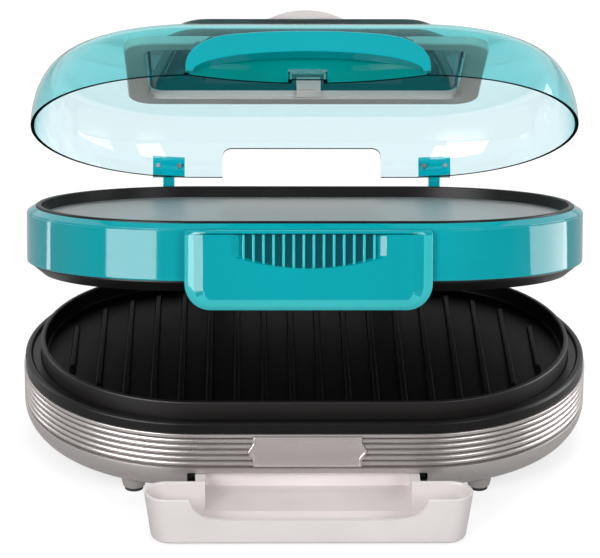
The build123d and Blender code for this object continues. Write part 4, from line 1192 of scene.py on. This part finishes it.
def white_stage_material():
    """Pale floor that the camera and clear plastic see as white paper, and gloss as pale."""
    material, shader = new_material("stage_white", (0.4, 0.4, 0.4, 1), 0.8, Specular_IOR_Level=0.0)
    paper = add_noise(material, 40.0, 2.0)
    add_range(material, paper, 0.75, 0.85, shader.inputs["Roughness"])
    tree = material.node_tree
    seen, glossy = add_ray_kinds(tree)
    seen_glow = add_math(tree, "MULTIPLY", seen, 0.72)
    gloss_glow = add_math(tree, "MULTIPLY", glossy, 0.25)
    glow = tree.nodes.new("ShaderNodeEmission")
    glow.inputs["Color"].default_value = WHITE
    both = tree.nodes.new("ShaderNodeAddShader")
    tree.links.new(add_math(tree, "MAXIMUM", seen_glow, gloss_glow), glow.inputs["Strength"])
    tree.links.new(shader.outputs["BSDF"], both.inputs[0])
    tree.links.new(glow.outputs["Emission"], both.inputs[1])
    tree.links.new(both.outputs["Shader"], tree.nodes["Material Output"].inputs["Surface"])
    return material


def make_stage():
    mesh = bpy.data.meshes.new("floor")
    reach = 6.0
    corners = [(-reach, -reach, 0), (reach, -reach, 0), (reach, reach, 0), (-reach, reach, 0)]
    mesh.from_pydata(corners, [], [(0, 1, 2, 3)])
    mesh.materials.append(white_stage_material())
    add_object("floor", mesh)


def add_background(tree, strength):
    background = tree.nodes.new("ShaderNodeBackground")
    background.inputs["Color"].default_value = WHITE
    background.inputs["Strength"].default_value = strength
    return background


def make_world():
    """Soft even light; the camera and clear plastic see white, and gloss sees it behind the object."""
    world = bpy.data.worlds.new("world")
    bpy.context.scene.world = world
    world.use_nodes = True
    tree = world.node_tree
    tree.nodes.clear()
    soft = add_background(tree, 0.34)
    white = add_background(tree, 1.0)
    gloss = add_background(tree, 1.0)
    place = tree.nodes.new("ShaderNodeTexCoord")
    split = tree.nodes.new("ShaderNodeSeparateXYZ")
    depth = tree.nodes.new("ShaderNodeMapRange")
    depth.inputs["From Min"].default_value = -0.4
    depth.inputs["From Max"].default_value = 0.3
    depth.inputs["To Min"].default_value = 0.22
    depth.inputs["To Max"].default_value = 1.0
    tree.links.new(place.outputs["Generated"], split.inputs["Vector"])
    tree.links.new(split.outputs["Y"], depth.inputs["Value"])
    tree.links.new(depth.outputs["Result"], gloss.inputs["Strength"])
    seen, glossy = add_ray_kinds(tree)
    unseen = add_mix(tree, glossy, soft.outputs["Background"], gloss.outputs["Background"])
    surface = add_mix(tree, seen, unseen, white.outputs["Background"])
    out = tree.nodes.new("ShaderNodeOutputWorld")
    tree.links.new(surface, out.inputs["Surface"])


def add_lamp(name, place, target, size, power, hidden=()):
    """Area lamp that the camera, clear plastic and the hidden kinds of ray do not see."""
    data = bpy.data.lights.new(name, "AREA")
    data.shape = "RECTANGLE"
    data.size, data.size_y = size
    data.energy = power
    lamp = add_object(name, data)
    lamp.location = place
    lamp.rotation_mode = "QUATERNION"
    lamp.rotation_quaternion = (Vector(target) - Vector(place)).to_track_quat("-Z", "Y")
    for kind in ("camera", "transmission", *hidden):
        setattr(lamp, f"visible_{kind}", False)


def add_card(name, place, target, size, radiance):
    """Upright white card that only gloss sees."""
    add_lamp(name, place, target, size, radiance * pi * size[0] * size[1], ["diffuse"])


def make_lights():
    """Studio lamps aimed at the object's middle, and cards for its reflections, in metres and watts."""
    middle = (0, 0, 0.12)
    add_lamp("key", (-1.1, -1.9, 1.15), middle, (0.9, 0.9), 25.0)
    add_lamp("fill", (1.3, -1.7, 0.95), middle, (0.8, 0.9), 17.0)
    add_lamp("top", (0, 0.4, 2.2), (0, 0, 0.1), (1.4, 1.0), 12.0, ["glossy"])
    add_lamp("back", (0.5, 1.9, 1.1), middle, (1.2, 0.8), 13.0, ["glossy"])
    add_card("card_left", (-1.25, -1.25, 0.6), (0, 0, 0.6), (1.1, 1.2), 11.0)
    add_card("card_right", (0.45, 0.03, 0.14), (0, 0.03, 0.14), (0.28, 0.26), 6.0)
    add_card("strip_left", (-0.45, 0.12, 0.12), (0, 0.12, 0.12), (0.05, 0.22), 5.0)


dress_nodes()
make_base_housing()
make_name_plate()
make_bezel()
make_lower_grill()
make_tray()
make_middle_housing()
make_lower_frame()
make_bun_tray()
make_handle()
make_fins()
make_lid_shell()
make_visor()
make_lid_frame()
make_cap()
make_camera()
make_stage()
make_world()
make_lights()
bpy.context.scene.view_settings.view_transform = "Standard"
